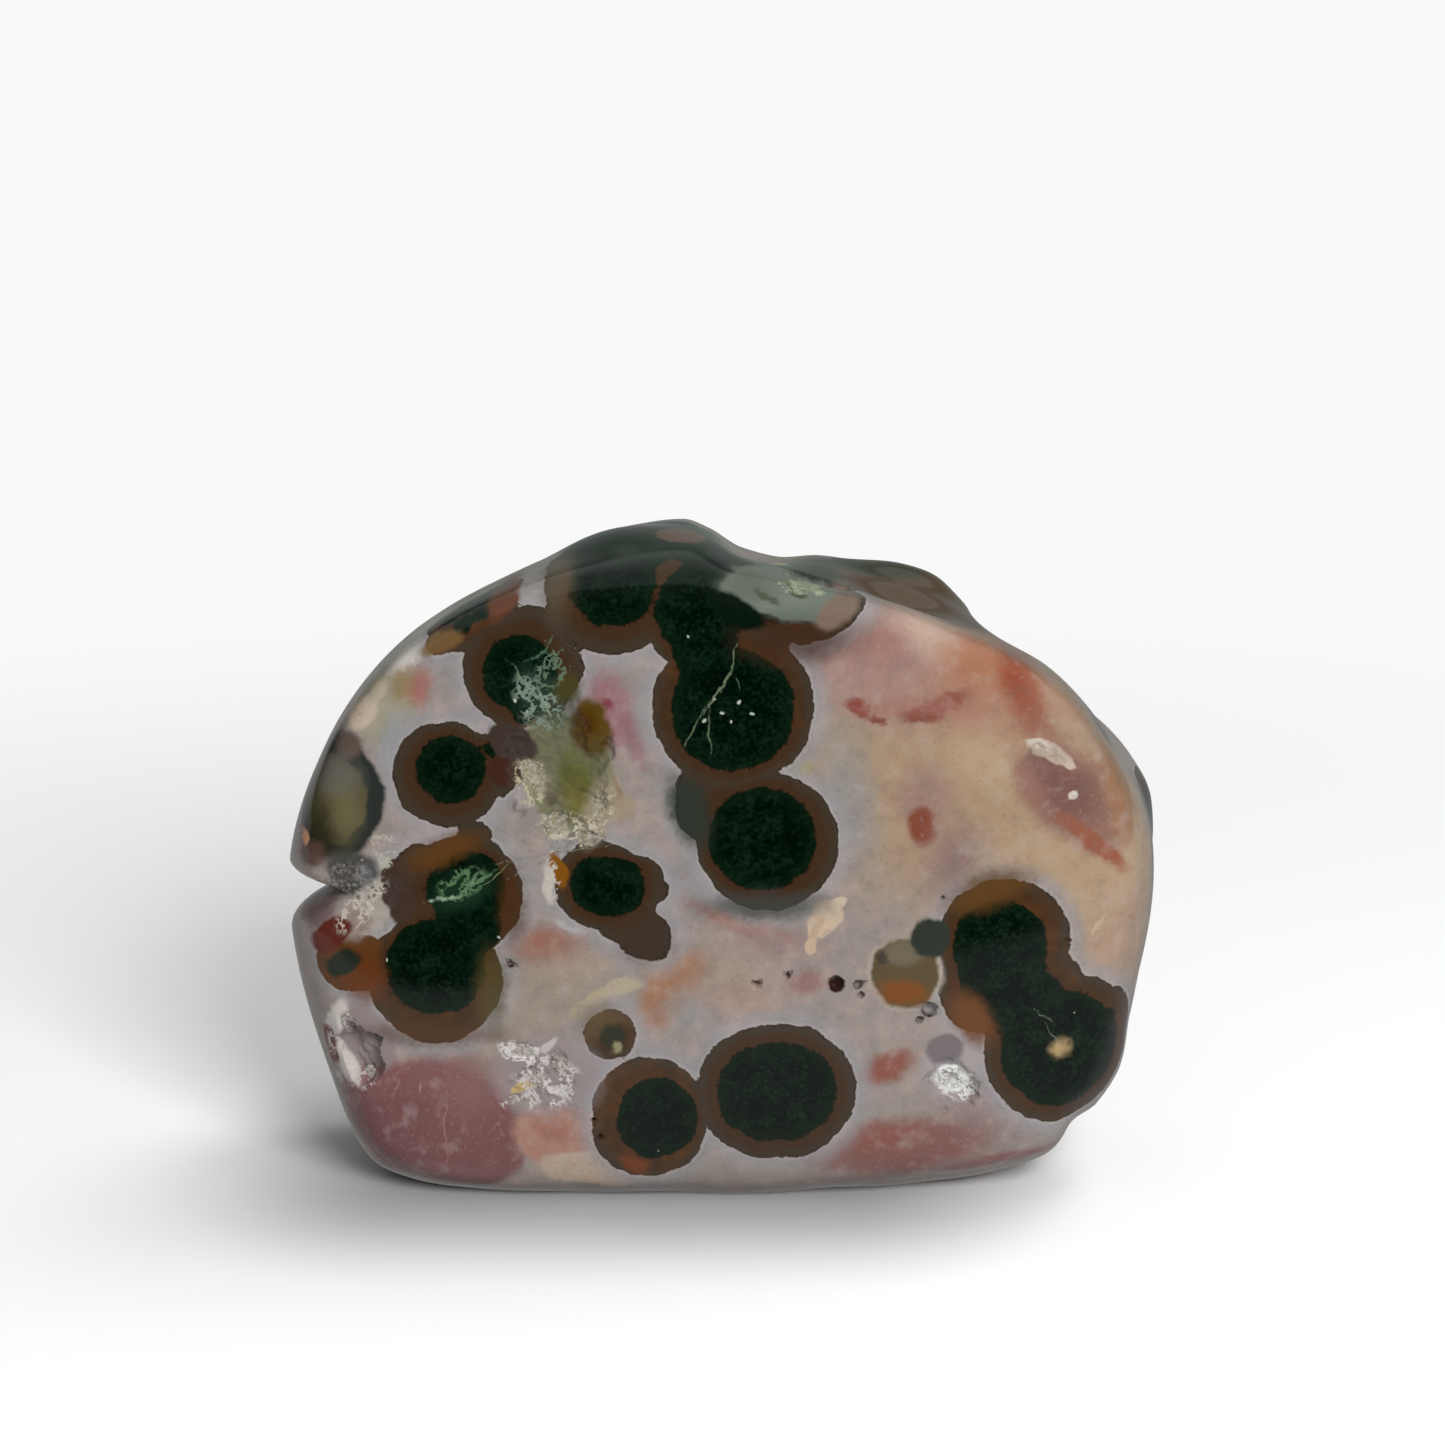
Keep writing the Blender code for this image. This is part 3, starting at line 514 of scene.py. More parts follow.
# Lace of fine quartz: name, middle (x, z), half size, turn, colour as it shows.
LACE = [
    ("lace field high", (-18.3, 15.0), (2.4, 1.0), 20, (216, 212, 208)),
    ("lace field", (-15.9, 12.1), (2.9, 2.4), 10, (212, 206, 202)),
    ("lace foot", (-18.7, 10.0), (1.6, 0.7), 0, (196, 190, 184)),
    ("edge of the amethyst pocket", (-35.2, 15.9), (1.0, 2.6), 20, (196, 190, 186)),
    ("foot of the amethyst pocket", (-33.8, 11.7), (2.2, 0.9), -10, (190, 182, 178)),
    ("edge of the vug", (21.5, 11.7), (2.2, 1.5), 20, (226, 226, 224)),
    ("left edge of the crumbly pocket", (-17.3, 40.1), (1.3, 2.3), -20, (186, 180, 150)),
    ("foot of the crumbly pocket", (-13.5, 36.4), (3.1, 1.1), 10, (196, 188, 168)),
    ("right edge of the crumbly pocket", (-10.6, 38.4), (0.9, 2.0), 10, (190, 178, 152)),
    ("left of the spade", (-15.4, 31.3), (0.7, 2.0), 0, (192, 184, 174)),
    ("pale matrix", (-32.6, 28.7), (1.2, 3.3), 40, (190, 182, 170)),
    ("crumbs by the smoky eye", (-30.4, 34.1), (1.1, 1.8), 0, (176, 172, 158)),
    ("crystal spray", (-16.5, 47.5), (1.8, 3.0), -26, (124, 142, 124)),
    ("crystal spray high", (-15.2, 50.9), (1.4, 1.8), 20, (96, 116, 94)),
    ("green vein field", (-23.5, 30.9), (2.3, 1.4), -24, (88, 118, 84)),
    ("crumbs of the lens", (7.4, 58.2), (1.8, 0.8), 16, (164, 174, 146)),
]

# Eyes that the photo doesn't show, on the top, the sides and the back: (x, y, z), radius of
# the heart and of the rim.
HIDDEN_EYES = [
    ((-9.2, -6.5, 60.0), 5.2, 6.8),
    ((-7.0, 2.0, 60.5), 4.2, 6.0),
    ((-1.0, -6.5, 59.4), 4.4, 5.6),
    ((6.5, -3.0, 58.0), 5.6, 6.6),
    ((13.6, 7.5, 57.6), 2.4, 3.6),
    ((-24.0, -9.4, 54.4), 1.3, 2.7),
    ((-22.4, -8.8, 56.0), 2.0, 3.1),
    ((-20.6, -8.2, 57.2), 1.9, 2.9),
    ((-22.0, 12.6, 40.0), 4.6, 6.6),
    ((-14.0, 12.6, 46.0), 3.6, 5.6),
    ((-2.0, 12.8, 51.0), 4.8, 6.6),
    ((8.0, 12.8, 49.0), 3.0, 4.8),
    ((25.0, 12.6, 38.0), 5.0, 7.2),
    ((31.0, 12.2, 27.5), 3.8, 5.8),
    ((19.0, 12.8, 13.0), 5.2, 7.4),
    ((9.5, 12.8, 20.0), 3.4, 5.2),
    ((-5.0, 12.8, 28.0), 2.4, 3.8),
    ((-13.0, 12.8, 10.5), 4.8, 6.8),
    ((-28.5, 12.2, 17.0), 4.2, 6.0),
    ((-33.0, 11.6, 28.5), 2.6, 4.2),
    ((-38.0, 4.5, 16.0), 3.6, 5.2),
    ((-37.5, 6.5, 43.0), 3.0, 4.6),
    ((-25.0, 7.0, 54.5), 3.2, 5.0),
    ((38.5, 6.5, 19.5), 3.4, 5.0),
    ((39.5, 4.0, 34.0), 2.2, 3.6),
    ((27.5, 6.0, 50.5), 2.6, 4.2),
]

# Markings with a place of their own in depth: name, middle, half size, colour as it shows,
# strength, softness. Those of the first table lie over the eyes, the others under them.
DEEP_MARKINGS = [
    ("dark crest of the dome", (-5.0, -1.0, 60.5), (10.5, 8.0, 3.2), (28, 42, 32), 1.0, 0.15),
    ("dark saddle", (6.5, -2.0, 57.8), (7.0, 7.0, 2.6), (32, 44, 33), 1.0, 0.2),
    ("brown left of the dome", (-14.6, -8.0, 57.6), (1.6, 5.0, 3.6), (92, 80, 62), 0.8, 0.5),
    ("tan patch of the dome", (-3.6, -2.0, 60.9), (2.3, 3.0, 1.6), (104, 80, 64), 1.0, 0.15),
    ("warm glint of the brow", (5.0, 2.6, 57.2), (0.75, 2.0, 0.8), (226, 204, 150), 1.0, 0.5),
    ("rear hump", (17.5, 3.0, 53.8), (9.0, 10.5, 5.6), (88, 70, 56), 1.0, 0.2),
    ("green edge of the hump", (14.5, 5.6, 56.8), (8.0, 3.0, 1.5), (52, 58, 42), 0.9, 0.4),
    ("green streak of the shoulder", (34.6, -3.6, 43.6), (1.9, 3.0, 2.1), (84, 84, 76), 0.9, 0.3),
    ("plum streak of the side", (39.6, -2.6, 32.0), (1.6, 3.4, 4.2), (104, 84, 80), 0.85, 0.4),
]
HIDDEN_MARKINGS = [
    ("pale belt of the left foot", (-35.0, -3.0, 12.0), (6.0, 5.4, 11.0), (130, 130, 120), 0.8, 0.5),
    ("pale belt of the right side", (38.5, 0.0, 30.0), (3.6, 7.0, 14.0), (160, 148, 128), 0.6, 0.6),
    ("peach cloud of the back", (8.0, 13.0, 34.0), (13.0, 5.0, 9.0), (165, 116, 92), 0.8, 0.9),
    ("pink cloud of the back", (-20.0, 13.0, 29.0), (11.0, 5.0, 8.0), (140, 98, 96), 0.8, 0.9),
    ("beige cloud of the back", (30.0, 12.0, 20.0), (11.0, 6.0, 13.0), (168, 142, 114), 0.7, 0.9),
    ("deep pink of the back foot", (-2.0, 13.0, 6.0), (15.0, 6.0, 6.5), (122, 80, 80), 0.85, 0.5),
    ("red drift of the back", (14.0, 13.0, 43.0), (9.0, 4.0, 2.4), (150, 92, 76), 0.7, 0.8),
    ("pink of the sawn base", (8.0, 0.0, 0.0), (16.0, 9.0, 2.5), (150, 112, 104), 0.7, 0.8),
]


# Tints of the crumbs: name, middle, half size, colour as it shows.
CRUMB_TINTS = [
    ("olive crumbs", (-13.6, -12.5, 40.6), (4.6, 3.0, 6.6), (158, 152, 116)),
    ("green brow crumbs", (9.0, -8.0, 58.0), (6.0, 5.0, 3.0), (132, 146, 118)),
    ("white vug crumbs", (21.2, -12.5, 12.4), (3.6, 3.0, 3.6), (232, 233, 230)),
    ("grey left crumbs", (-33.0, -12.0, 31.0), (4.0, 4.0, 3.0), (104, 102, 98)),
]

# Raw places where the polish misses: name, middle, half size, turn, how raw.
RAW_PLACES = [
    ("brow crumbs", (6.8, -10.4, 58.2), (2.0, 1.8, 0.8), 0.0, 0.75),
    ("left rough", (-33.4, -12.0, 31.2), (2.8, 2.5, 2.0), 20.0, 0.7),
    ("left matrix", (-31.4, -12.6, 28.6), (1.6, 2.0, 3.6), 40.0, 0.5),
    ("left rim of the crumbly pocket", (-17.0, -12.4, 41.1), (1.2, 1.6, 2), -20, 0.95),
    ("foot of the crumbly pocket", (-15.0, -12.4, 36.4), (1.3, 1.6, 1.2), 0, 1),
    ("right foot of the crumbly pocket", (-11.9, -12.4, 35.2), (1.4, 1.6, 0.8), -20, 1),
    ("right rim of the crumbly pocket", (-11.0, -12.4, 38.2), (0.9, 1.6, 1.9), 20, 0.9),
    ("cream chip", (9.2, -12.4, 27.4), (1.5, 1.5, 2.1), 30, 0.3),
    ("spade crumbs", (-15.0, -12.4, 34.6), (1.2, 1.5, 1), 0, 0.7),
    ("lace crust high", (-18.5, -12.4, 15.2), (1.4, 1.5, 0.7), 20, 0.95),
    ("lace crust right", (-15.0, -12.4, 14.0), (0.9, 1.5, 1.3), 0, 0.8),
    ("lace crust low", (-17.1, -12.4, 12.1), (1.5, 1.5, 0.9), -20, 0.85),
    ("lace crust foot", (-19.0, -12.4, 10.4), (0.8, 1.5, 0.6), 0, 0.8),
    ("vug crystals", (20.9, -12.4, 12.0), (1.5, 1.6, 1.2), 20, 0.95),
    ("amethyst top", (-34.8, -12.4, 17.1), (0.8, 1.6, 1.6), 15, 0.9),
    ("amethyst foot", (-33.1, -12.4, 12.3), (1.2, 1.6, 0.8), 0, 0.85),
]

# The light on the face shows a colour brighter by this, and none is whiter than the limit.
FACE_LIGHT = 1.40
WHITEST = 0.92

# How deep an eye's middle lies under the face, as a share of the radius that shows, and
# how deep a marking of the face goes.
EYE_SINK = 0.35
MARKING_DEPTH = 10.0
# Turned markings share their angles, because each one is a node that stays in use.
TURN_STEP = 10.0
# Markings no softer than this keep crisp edges.
CRISP = 0.3
QUARTZ_IOR = 1.54
BUMP_HEIGHT = 0.4 * MM

# Noises of the stone: lumps to a millimetre and detail.
SPECKLE = (2.6, 3.0)
MOTTLE = (0.6, 3.0)
GRAIN = (5.0, 1.0)
CRUMB_MOTTLE = (1.3, 3.0)
# How far the pattern drifts: lumps to a millimetre, reach in millimetres and detail.
BROAD_DRIFT = (0.32, 1.2, 1.0)
FINE_DRIFT = (1.6, 0.9, 2.0)
CRISP_DRIFT = (1.2, 0.5, 1.0)
# Clouds of the quartz: name, what drives it, start, end, strength, colour as it shows.
QUARTZ_CLOUDS = [
    ("rose specks", "speckle", 0.55, 0.75, 0.3, (136, 94, 84)),
    ("pale specks", "speckle", 0.42, 0.25, 0.2, (178, 170, 164)),
    ("dark mottle", "mottle", 0.5, 0.25, 0.25, (118, 104, 98)),
    ("pale mottle", "mottle", 0.5, 0.75, 0.25, (184, 174, 166)),
    ("cream line round the rims", "to_rim", 0.30, 0.12, 0.25, (184, 176, 166)),
]
# Crumbs lie where the crust is rawer than this; smallest and largest stretch of one.
CRUMB_CRUST = 0.55
CRUMB_LEAST = (0.25, 0.25, 0.3)
CRUMB_MOST = (0.8, 0.8, 1.0)

# Places along the section where the flat faces end and the side between them begins.
FRONT_EDGE_PLACE = 3.0
BACK_EDGE_PLACE = 9.0
SIDE_ROWS = 40
PROFILE_STEPS = 240
# How fast the lumps and the cleft of the side die away towards the middle of a face, and
# how hollow the walls of the cleft are.
LUMP_POWER = 8
CLEFT_POWER = 4
CLEFT_CURVE = 2.2
# Edges sharper than this aren't smoothed.
SHARP_ANGLE = math.radians(42.0)

# Small pits: how far their middle lies in front of the face, half size in depth, rawness.
PIT_LIFT = 0.3
PIT_DEPTH = 0.85
PIT_RAWNESS = 0.5
POCKET_RAWNESS = 0.4
# Round a bowl, in its half sizes: how far off the skin is looked at, how far its faces are
# split, how far it is raw, and the width over which the rawness fades.
FELT_REACH = 1.35
SPLIT_REACH = 1.25
RAW_REACH = 1.12
RAW_FADE = 0.3

# What the camera and the softboxes look at; place, side and colour of each softbox.
AIM = (SHIFT_X * MM, 0.0, 0.0428)
KEY_SPOT = (0.22, -0.58, 0.38)
KEY_SIDE = 0.28
KEY_TINT = (1.0, 1.0, 1.0)
TOP_SPOT = (0.30, 0.17, 0.60)
TOP_SIDE = 0.26
TOP_TINT = (0.97, 1.0, 0.97)
SENSOR_WIDTH = 36.0

# The paper fades out into the backdrop from one distance to the other. The polish mirrors
# it as a dim glowing sheet, a painted reflection, which reaches out to a slanting edge in front of
# the stone.
FLOOR_RADIUS = 0.60
FADE_START = 0.09
FADE_END = 0.25
PAPER_EDGE_Y = -0.081
PAPER_EDGE_SOFT = 0.003
PAPER_SLANT = 0.254
PAPER_SHEEN = 0.26
# A painted shadow on the paper, deepest along the foot, most of all in front and on the left:
# how much of the paper's white it takes, middle and half size of its dark part, and its fading edge.
FOOT_SHADE = 0.56
FOOT_SHADE_SPOT = (-0.010, -0.002, 0.0)
FOOT_SHADE_HALF = (0.020, 0.006, 1.0)
FOOT_SHADE_REACH = 0.026

WHITE = (1.0, 1.0, 1.0, 1.0)
BLACK = (0.0, 0.0, 0.0)
# The room that the polish mirrors: its colour, then the brightness of the low sky, of the
# ceiling and of the wall behind, each as start, end, none, full.
DUSK = (0.90, 1.0, 0.93, 1.0)
LOW_SKY = (-0.02, 0.40, 0.0, 0.06)
CEILING = (0.44, 0.56, 0.0, 0.30)
BACK_WALL = (0.70, 1.0, 0.0, 0.22)


def seen(red, green, blue):
    """Linear colour of a surface that shows as this sRGB colour in the light of the face."""
    shades = []
    for part in (red, green, blue):
        share = part / 255.0
        linear = share / 12.92 if share <= 0.04045 else ((share + 0.055) / 1.055) ** 2.4
        shades.append(min(linear / FACE_LIGHT, WHITEST))
    return tuple(shades)


def tint_property(name, description, default):
    return FloatVectorProperty(name=name, description=description, default=default, size=3,
                               subtype="COLOR", min=0.0, max=1.0)


class StoneLook(bpy.types.PropertyGroup):
    """Sizes and colours of the polished stone."""

    grid: IntProperty(name="Face grid", description="Squares across the front and back faces",
                      default=120, min=24, max=160)
    relief: FloatProperty(name="Pocket relief", description="Height of the raw lumps in a pocket",
                          default=0.00038, min=0.0, max=0.001, unit="LENGTH")
    polish: FloatProperty(name="Polish", description="Roughness of the polished faces",
                          default=0.07, min=0.0, max=1.0, subtype="FACTOR")
    ground: tint_property("Ground", "Lilac grey between the eyes", seen(147, 140, 134))
    halo: tint_property("Halo", "Bluish white that edges each eye", seen(150, 149, 153))
    heart: tint_property("Heart", "Green black inside of an eye", seen(1, 13, 6))
    inner_ring: tint_property("Inner ring", "Brown next to a heart", seen(66, 46, 30))
    outer_ring: tint_property("Outer ring", "Grey brown rim of an eye", seen(64, 54, 44))
    rust: tint_property("Rust", "Ring of the warmest eyes", seen(96, 60, 28))
    smoke: tint_property("Smoke", "Ring of the greyest eyes", seen(60, 62, 56))
    raw: tint_property("Raw quartz", "Chalky crust where a pocket is open", seen(176, 168, 158))


class CrumbLook(bpy.types.PropertyGroup):
    """Sizes and colours of the crystals in the pockets."""

    size: FloatProperty(name="Crumb size", description="Largest radius of a crumb",
                        default=0.00034, min=0.0001, max=0.001, unit="LENGTH")
    density: FloatProperty(name="Crumbs to a square metre", description="How thickly they lie",
                           default=5.5e6, min=0.0)
    seed: IntProperty(name="Seed", description="Another seed strews the crumbs another way",
                      default=7, min=0)
    quartz: tint_property("Quartz", "Colour of the crumbs", seen(188, 182, 172))


class StageLook(bpy.types.PropertyGroup):
    """Floor, backdrop, lights and camera."""

    floor: tint_property("Floor", "Colour of the paper floor", (0.93, 0.93, 0.93))
    backdrop: FloatProperty(name="Backdrop", description="Brightness behind the stone",
                            default=0.945, min=0.0, max=2.0)
    room: FloatProperty(name="Room light", description="Light that comes from all round",
                        default=0.40, min=0.0, max=3.0)
    key: FloatProperty(name="Key light", description="Power of the softbox in front on the right",
                       default=5.2, min=0.0, unit="POWER")
    top: FloatProperty(name="Top light", description="Power of the softbox overhead",
                       default=1.1, min=0.0, unit="POWER")
    distance: FloatProperty(name="Camera distance", description="From the stone's middle",
                            default=0.380, min=0.1, unit="LENGTH")
    elevation: FloatProperty(name="Camera elevation", description="Angle above the horizon",
                             default=math.radians(14.0), subtype="ANGLE")
    lens: FloatProperty(name="Lens", description="Focal length on a 36 mm wide frame",
                        default=102.35, min=10.0, unit="CAMERA")


class Wire:
    """A value on its way through a node tree, which takes part in Python sums."""

    def __init__(self, bench, socket):
        self.bench = bench
        self.socket = socket

    def sum(self, operation, *parts):
        inputs = dict(enumerate(parts))
        return self.bench.add("ShaderNodeMath", {"operation": operation}, inputs)

    def __add__(self, other):
        return self.sum("ADD", self, other)

    def __radd__(self, other):
        return self.sum("ADD", other, self)

    def __sub__(self, other):
        return self.sum("SUBTRACT", self, other)

    def __rsub__(self, other):
        return self.sum("SUBTRACT", other, self)

    def __mul__(self, other):
        return self.sum("MULTIPLY", self, other)

    def __rmul__(self, other):
        return self.sum("MULTIPLY", other, self)

    def __truediv__(self, other):
        return self.sum("DIVIDE", self, other)

    def __rtruediv__(self, other):
        return self.sum("DIVIDE", other, self)

    def least(self, other):
        return self.sum("MINIMUM", self, other)

    def most(self, other):
        return self.sum("MAXIMUM", self, other)

    def fade(self, start, end, low=0.0, high=1.0):
        """Eased step from low at start to high at end."""
        settings = {"interpolation_type": "SMOOTHSTEP", "clamp": False}
        return self.bench.add("ShaderNodeMapRange", settings,
                              {"Value": self, "From Min": start, "From Max": end,
                               "To Min": low, "To Max": high})


class Bench:
    """Adds nodes to one tree."""

    def __init__(self, tree):
        self.tree = tree
        self.turns = {}
        tree.nodes.clear()

    def add(self, kind, settings=None, inputs=None, output=0):
        """A node of a type, its settings, then the values or wires of its sockets.

        It gives back the wire of one output, or of each in a tuple of names.
        """
        node = self.tree.nodes.new(kind)
        for name, value in (settings or {}).items():
            if name == "stops":
                self.fill_ramp(node.color_ramp, value)
            else:
                setattr(node, name, value)
        for key, value in (inputs or {}).items():
            socket = self.socket(node.inputs, key)
            if isinstance(value, Wire):
                self.tree.links.new(value.socket, socket)
            else:
                socket.default_value = value
        if not node.outputs:
            return node
        if isinstance(output, tuple):
            return [Wire(self, self.socket(node.outputs, name)) for name in output]
        return Wire(self, self.socket(node.outputs, output))

    @staticmethod
    def socket(sockets, key):
        if isinstance(key, int):
            return sockets[key]
        found = [socket for socket in sockets if socket.enabled and socket.name == key]
        return found[0]

    @staticmethod
    def fill_ramp(ramp, stops):
        while len(ramp.elements) < len(stops):
            ramp.elements.new(1.0)
        for element, (position, colour) in zip(ramp.elements, stops):
            element.position = position
            element.color = (*colour, 1.0)

    def blend(self, share, first, second):
        """From the first colour to the second as share goes from 0 to 1."""
        first = first if isinstance(first, Wire) else (*first, 1.0)
        second = second if isinstance(second, Wire) else (*second, 1.0)
        return self.add("ShaderNodeMix", {"data_type": "RGBA"},
                        {"Factor": share, "A": first, "B": second}, "Result")

    def vector(self, operation, *parts, output="Vector"):
        inputs = dict(enumerate(parts))
        return self.add("ShaderNodeVectorMath", {"operation": operation}, inputs, output)

    def cloud(self, place, scale, detail, output="Fac"):
        """Soft noise, with scale in lumps to a millimetre."""
        return self.add("ShaderNodeTexNoise", {},
                        {"Vector": place, "Scale": scale, "Detail": detail}, output)

    def attribute(self, name):
        """A value that the mesh carries from point to point."""
        return self.add("ShaderNodeAttribute", {"attribute_name": name}, {}, "Fac")

    def drifted(self, place, scale, reach, detail):
        """The place moved about by up to half the reach or so."""
        cloud = self.cloud(place, scale, detail, "Color")
        centred = self.vector("SUBTRACT", cloud, (0.5, 0.5, 0.5))
        return self.vector("MULTIPLY_ADD", centred, (reach, reach, reach), place)

    def to_nearest(self, place, balls):
        """Distance to the nearest of some balls, below zero inside one."""
        found = None
        for middle, radius in balls:
            away = self.vector("DISTANCE", place, middle, output="Value") - radius
            found = away if found is None else found.least(away)
        return found

    def turned(self, place, turn):
        """The place turned back about Y, one node for each angle."""
        key = (place.socket.node.name, turn)
        if key not in self.turns:
            across, deep, up = [self.vector("DOT_PRODUCT", place, tuple(row), output="Value")
                                for row in Matrix.Rotation(-math.radians(turn), 3, "Y")]
            self.turns[key] = self.add("ShaderNodeCombineXYZ", {},
                                       {"X": across, "Y": deep, "Z": up}, "Vector")
        return self.turns[key]

    def oval(self, place, middle, half_size, turn=0.0):
        """Zero in the middle of an ellipsoid and one on its skin."""
        turn = TURN_STEP * round(turn / TURN_STEP)
        centre = Matrix.Rotation(-math.radians(turn), 3, "Y") @ Vector(middle)
        share = [1.0 / size for size in half_size]
        start = [-centre[axis] * share[axis] for axis in range(3)]
        if turn:
            place = self.turned(place, turn)
        inside = self.vector("MULTIPLY_ADD", place, share, start)
        return self.vector("LENGTH", inside, output="Value")


def new_material(name):
    material = bpy.data.materials.new(name)
    material.use_nodes = True
    return material, Bench(material.node_tree)


def face_balls(circles):
    """Balls that the face cuts in these circles."""
    balls = []
    for x, z, radius in circles:
        balls.append(((x, FACE_Y + EYE_SINK * radius, z), radius * math.hypot(1.0, EYE_SINK)))
    return balls


def paint_marking(bench, colour, place, marking):
    """Lay one soft-edged patch over the colour."""
    _, middle, half_size, turn, paint, strength, softness = marking
    away = bench.oval(place, middle, half_size, turn)
    mask = away.fade(1.0 + softness, 1.0 - softness, 0.0, strength)
    return bench.blend(mask, colour, seen(*paint))


def paint_markings(bench, colour, fine, crisp, markings):
    """Lay a table of markings over the colour, the crisp ones from a steadier place."""
    for marking in markings:
        place = crisp if marking[-1] <= CRISP else fine
        colour = paint_marking(bench, colour, place, marking)
    return colour


def on_face(marking):
    """A marking of the front face with its middle and half size in depth filled in."""
    name, (x, z), (half_x, half_z), turn, paint, strength, softness = marking
    return (name, (x, FACE_Y, z), (half_x, MARKING_DEPTH, half_z), turn, paint, strength, softness)


def in_depth(marking):
    """A marking that has its own place in depth, unturned."""
    name, middle, half_size, paint, strength, softness = marking
    return (name, middle, half_size, 0.0, paint, strength, softness)


def stone_place(bench):
    """Where a point lies, in stone millimetres."""
    metres = bench.add("ShaderNodeTexCoord", {}, {}, "Object")
    return bench.add("ShaderNodeMapping", {"vector_type": "POINT"},
                     {"Vector": metres, "Location": (-SHIFT_X, 0.0, 0.0),
                      "Scale": (1.0 / MM, 1.0 / MM, 1.0 / MM)})


def jasper_material(look):
    """Green-black hearts in rust rings, in a lilac ground with pink and beige clouds."""
    material, bench = new_material("polished_jasper")
    place = stone_place(bench)
    speckle = bench.cloud(place, *SPECKLE)
    mottle = bench.cloud(place, *MOTTLE)
    grain = bench.cloud(place, *GRAIN)
    broad = bench.drifted(place, *BROAD_DRIFT)
    fine = bench.drifted(broad, *FINE_DRIFT)
    crisp = bench.drifted(broad, *CRISP_DRIFT)
    uneven = (speckle - 0.5) * 0.3 + (mottle - 0.5) * 0.8
    to_heart = bench.attribute("to_heart") + uneven
    to_rim = bench.attribute("to_rim") + uneven

    colour = bench.blend(mottle.fade(0.35, 0.68), look.ground, seen(156, 141, 134))
    colour = paint_markings(bench, colour, fine, crisp, map(on_face, GROUND_MARKINGS))
    colour = paint_markings(bench, colour, fine, fine, map(in_depth, HIDDEN_MARKINGS))
    colour = bench.blend(to_rim.fade(2.2, 0.0, 0.0, 0.75), colour, look.halo)
    drivers = {"speckle": speckle, "mottle": mottle, "to_rim": to_rim}
    for _, driver, start, end, strength, paint in QUARTZ_CLOUDS:
        mask = drivers[driver].fade(start, end, 0.0, strength)
        colour = bench.blend(mask, colour, seen(*paint))

    share = to_heart / (to_heart - to_rim) + (speckle - 0.5) * 0.4
    ring = bench.add("ShaderNodeValToRGB",
                     {"stops": [(0.0, tuple(0.5 * part for part in look.inner_ring)),
                                (0.10, look.inner_ring),
                                (0.40, look.inner_ring),
                                (0.75, look.outer_ring),
                                (0.92, look.outer_ring),
                                (1.0, tuple(0.55 * part for part in look.outer_ring))]},
                     {"Fac": share}, "Color")
    rust = bench.attribute("rust") + (mottle - 0.5) * 1.2
    ring = bench.blend(rust.fade(0.3, 1.0, 0.0, 0.85), ring, look.rust)
    ring = bench.blend(rust.fade(-0.3, -1.0, 0.0, 0.9), ring, look.smoke)
    moss = (speckle * 0.6 + mottle * 0.4).fade(0.42, 0.72)
    green = bench.blend(moss, look.heart, seen(19, 39, 26))
    green = bench.blend(to_heart.fade(-1.6, 0.0, 0.0, 0.5), green, seen(16, 33, 19))
    eye = bench.blend(to_heart.fade(0.06, -0.08), ring, green)
    colour = bench.blend(to_rim.fade(0.05, -0.05), colour, eye)

    colour = paint_markings(bench, colour, fine, fine, map(in_depth, DEEP_MARKINGS))
    colour = paint_markings(bench, colour, fine, crisp, map(on_face, OVER_MARKINGS))
    broken = (speckle - 0.45) * 2.5
    for _, start, end, width, paint in STREAKS:
        middle = ((start[0] + end[0]) / 2.0, FACE_Y, (start[1] + end[1]) / 2.0)
        reach = math.hypot(end[0] - start[0], end[1] - start[1]) / 2.0
        turn = -math.degrees(math.atan2(end[1] - start[1], end[0] - start[0]))
        away = bench.oval(crisp, middle, (reach * 1.15, 2.0, width), turn) + broken
        colour = bench.blend(away.fade(1.5, 0.5, 0.0, 0.8), colour, seen(*paint))
    beads = [((x, FACE_Y, z), radius) for x, z, radius in WHITE_BEADS]
    colour = bench.blend(bench.to_nearest(crisp, beads).fade(0.06, -0.05), colour,
                         seen(176, 184, 168))

    weave = mottle - 0.5 + (speckle - 0.5) * 0.4
    threads = weave.most(weave * -1.0).fade(0.06, 0.025)
    for _, (x, z), (half_x, half_z), turn, paint in LACE:
        away = bench.oval(crisp, (x, FACE_Y, z), (half_x, MARKING_DEPTH, half_z), turn)
        colour = bench.blend(threads * away.fade(1.2, 0.8, 0.0, 0.9), colour, seen(*paint))

    crust = bench.attribute("crust")
    chalk = (crust * 1.3 + (speckle - 0.62) * 1.6).fade(0.6, 1.2, 0.0, 0.6)
    colour = bench.blend(chalk, colour, look.raw)
    pit = (bench.attribute("to_pit") + uneven * 0.5).fade(0.08, -0.08)
    colour = bench.blend(pit, colour, seen(50, 27, 20))

    raw = (crust * 1.6).least(1.0).most(pit)
    gloss = (speckle.fade(0.2, 0.9, look.polish * 0.8, look.polish * 1.5) + raw * 0.5).least(0.9)
    normal = bench.add("ShaderNodeBump", {}, {"Strength": 0.5, "Distance": BUMP_HEIGHT,
                                              "Height": grain * crust})
    shader = bench.add("ShaderNodeBsdfPrincipled", {},
                       {"Base Color": colour, "Roughness": gloss, "IOR": QUARTZ_IOR,
                        "Normal": normal})
    bench.add("ShaderNodeOutputMaterial", {}, {"Surface": shader})
    return material


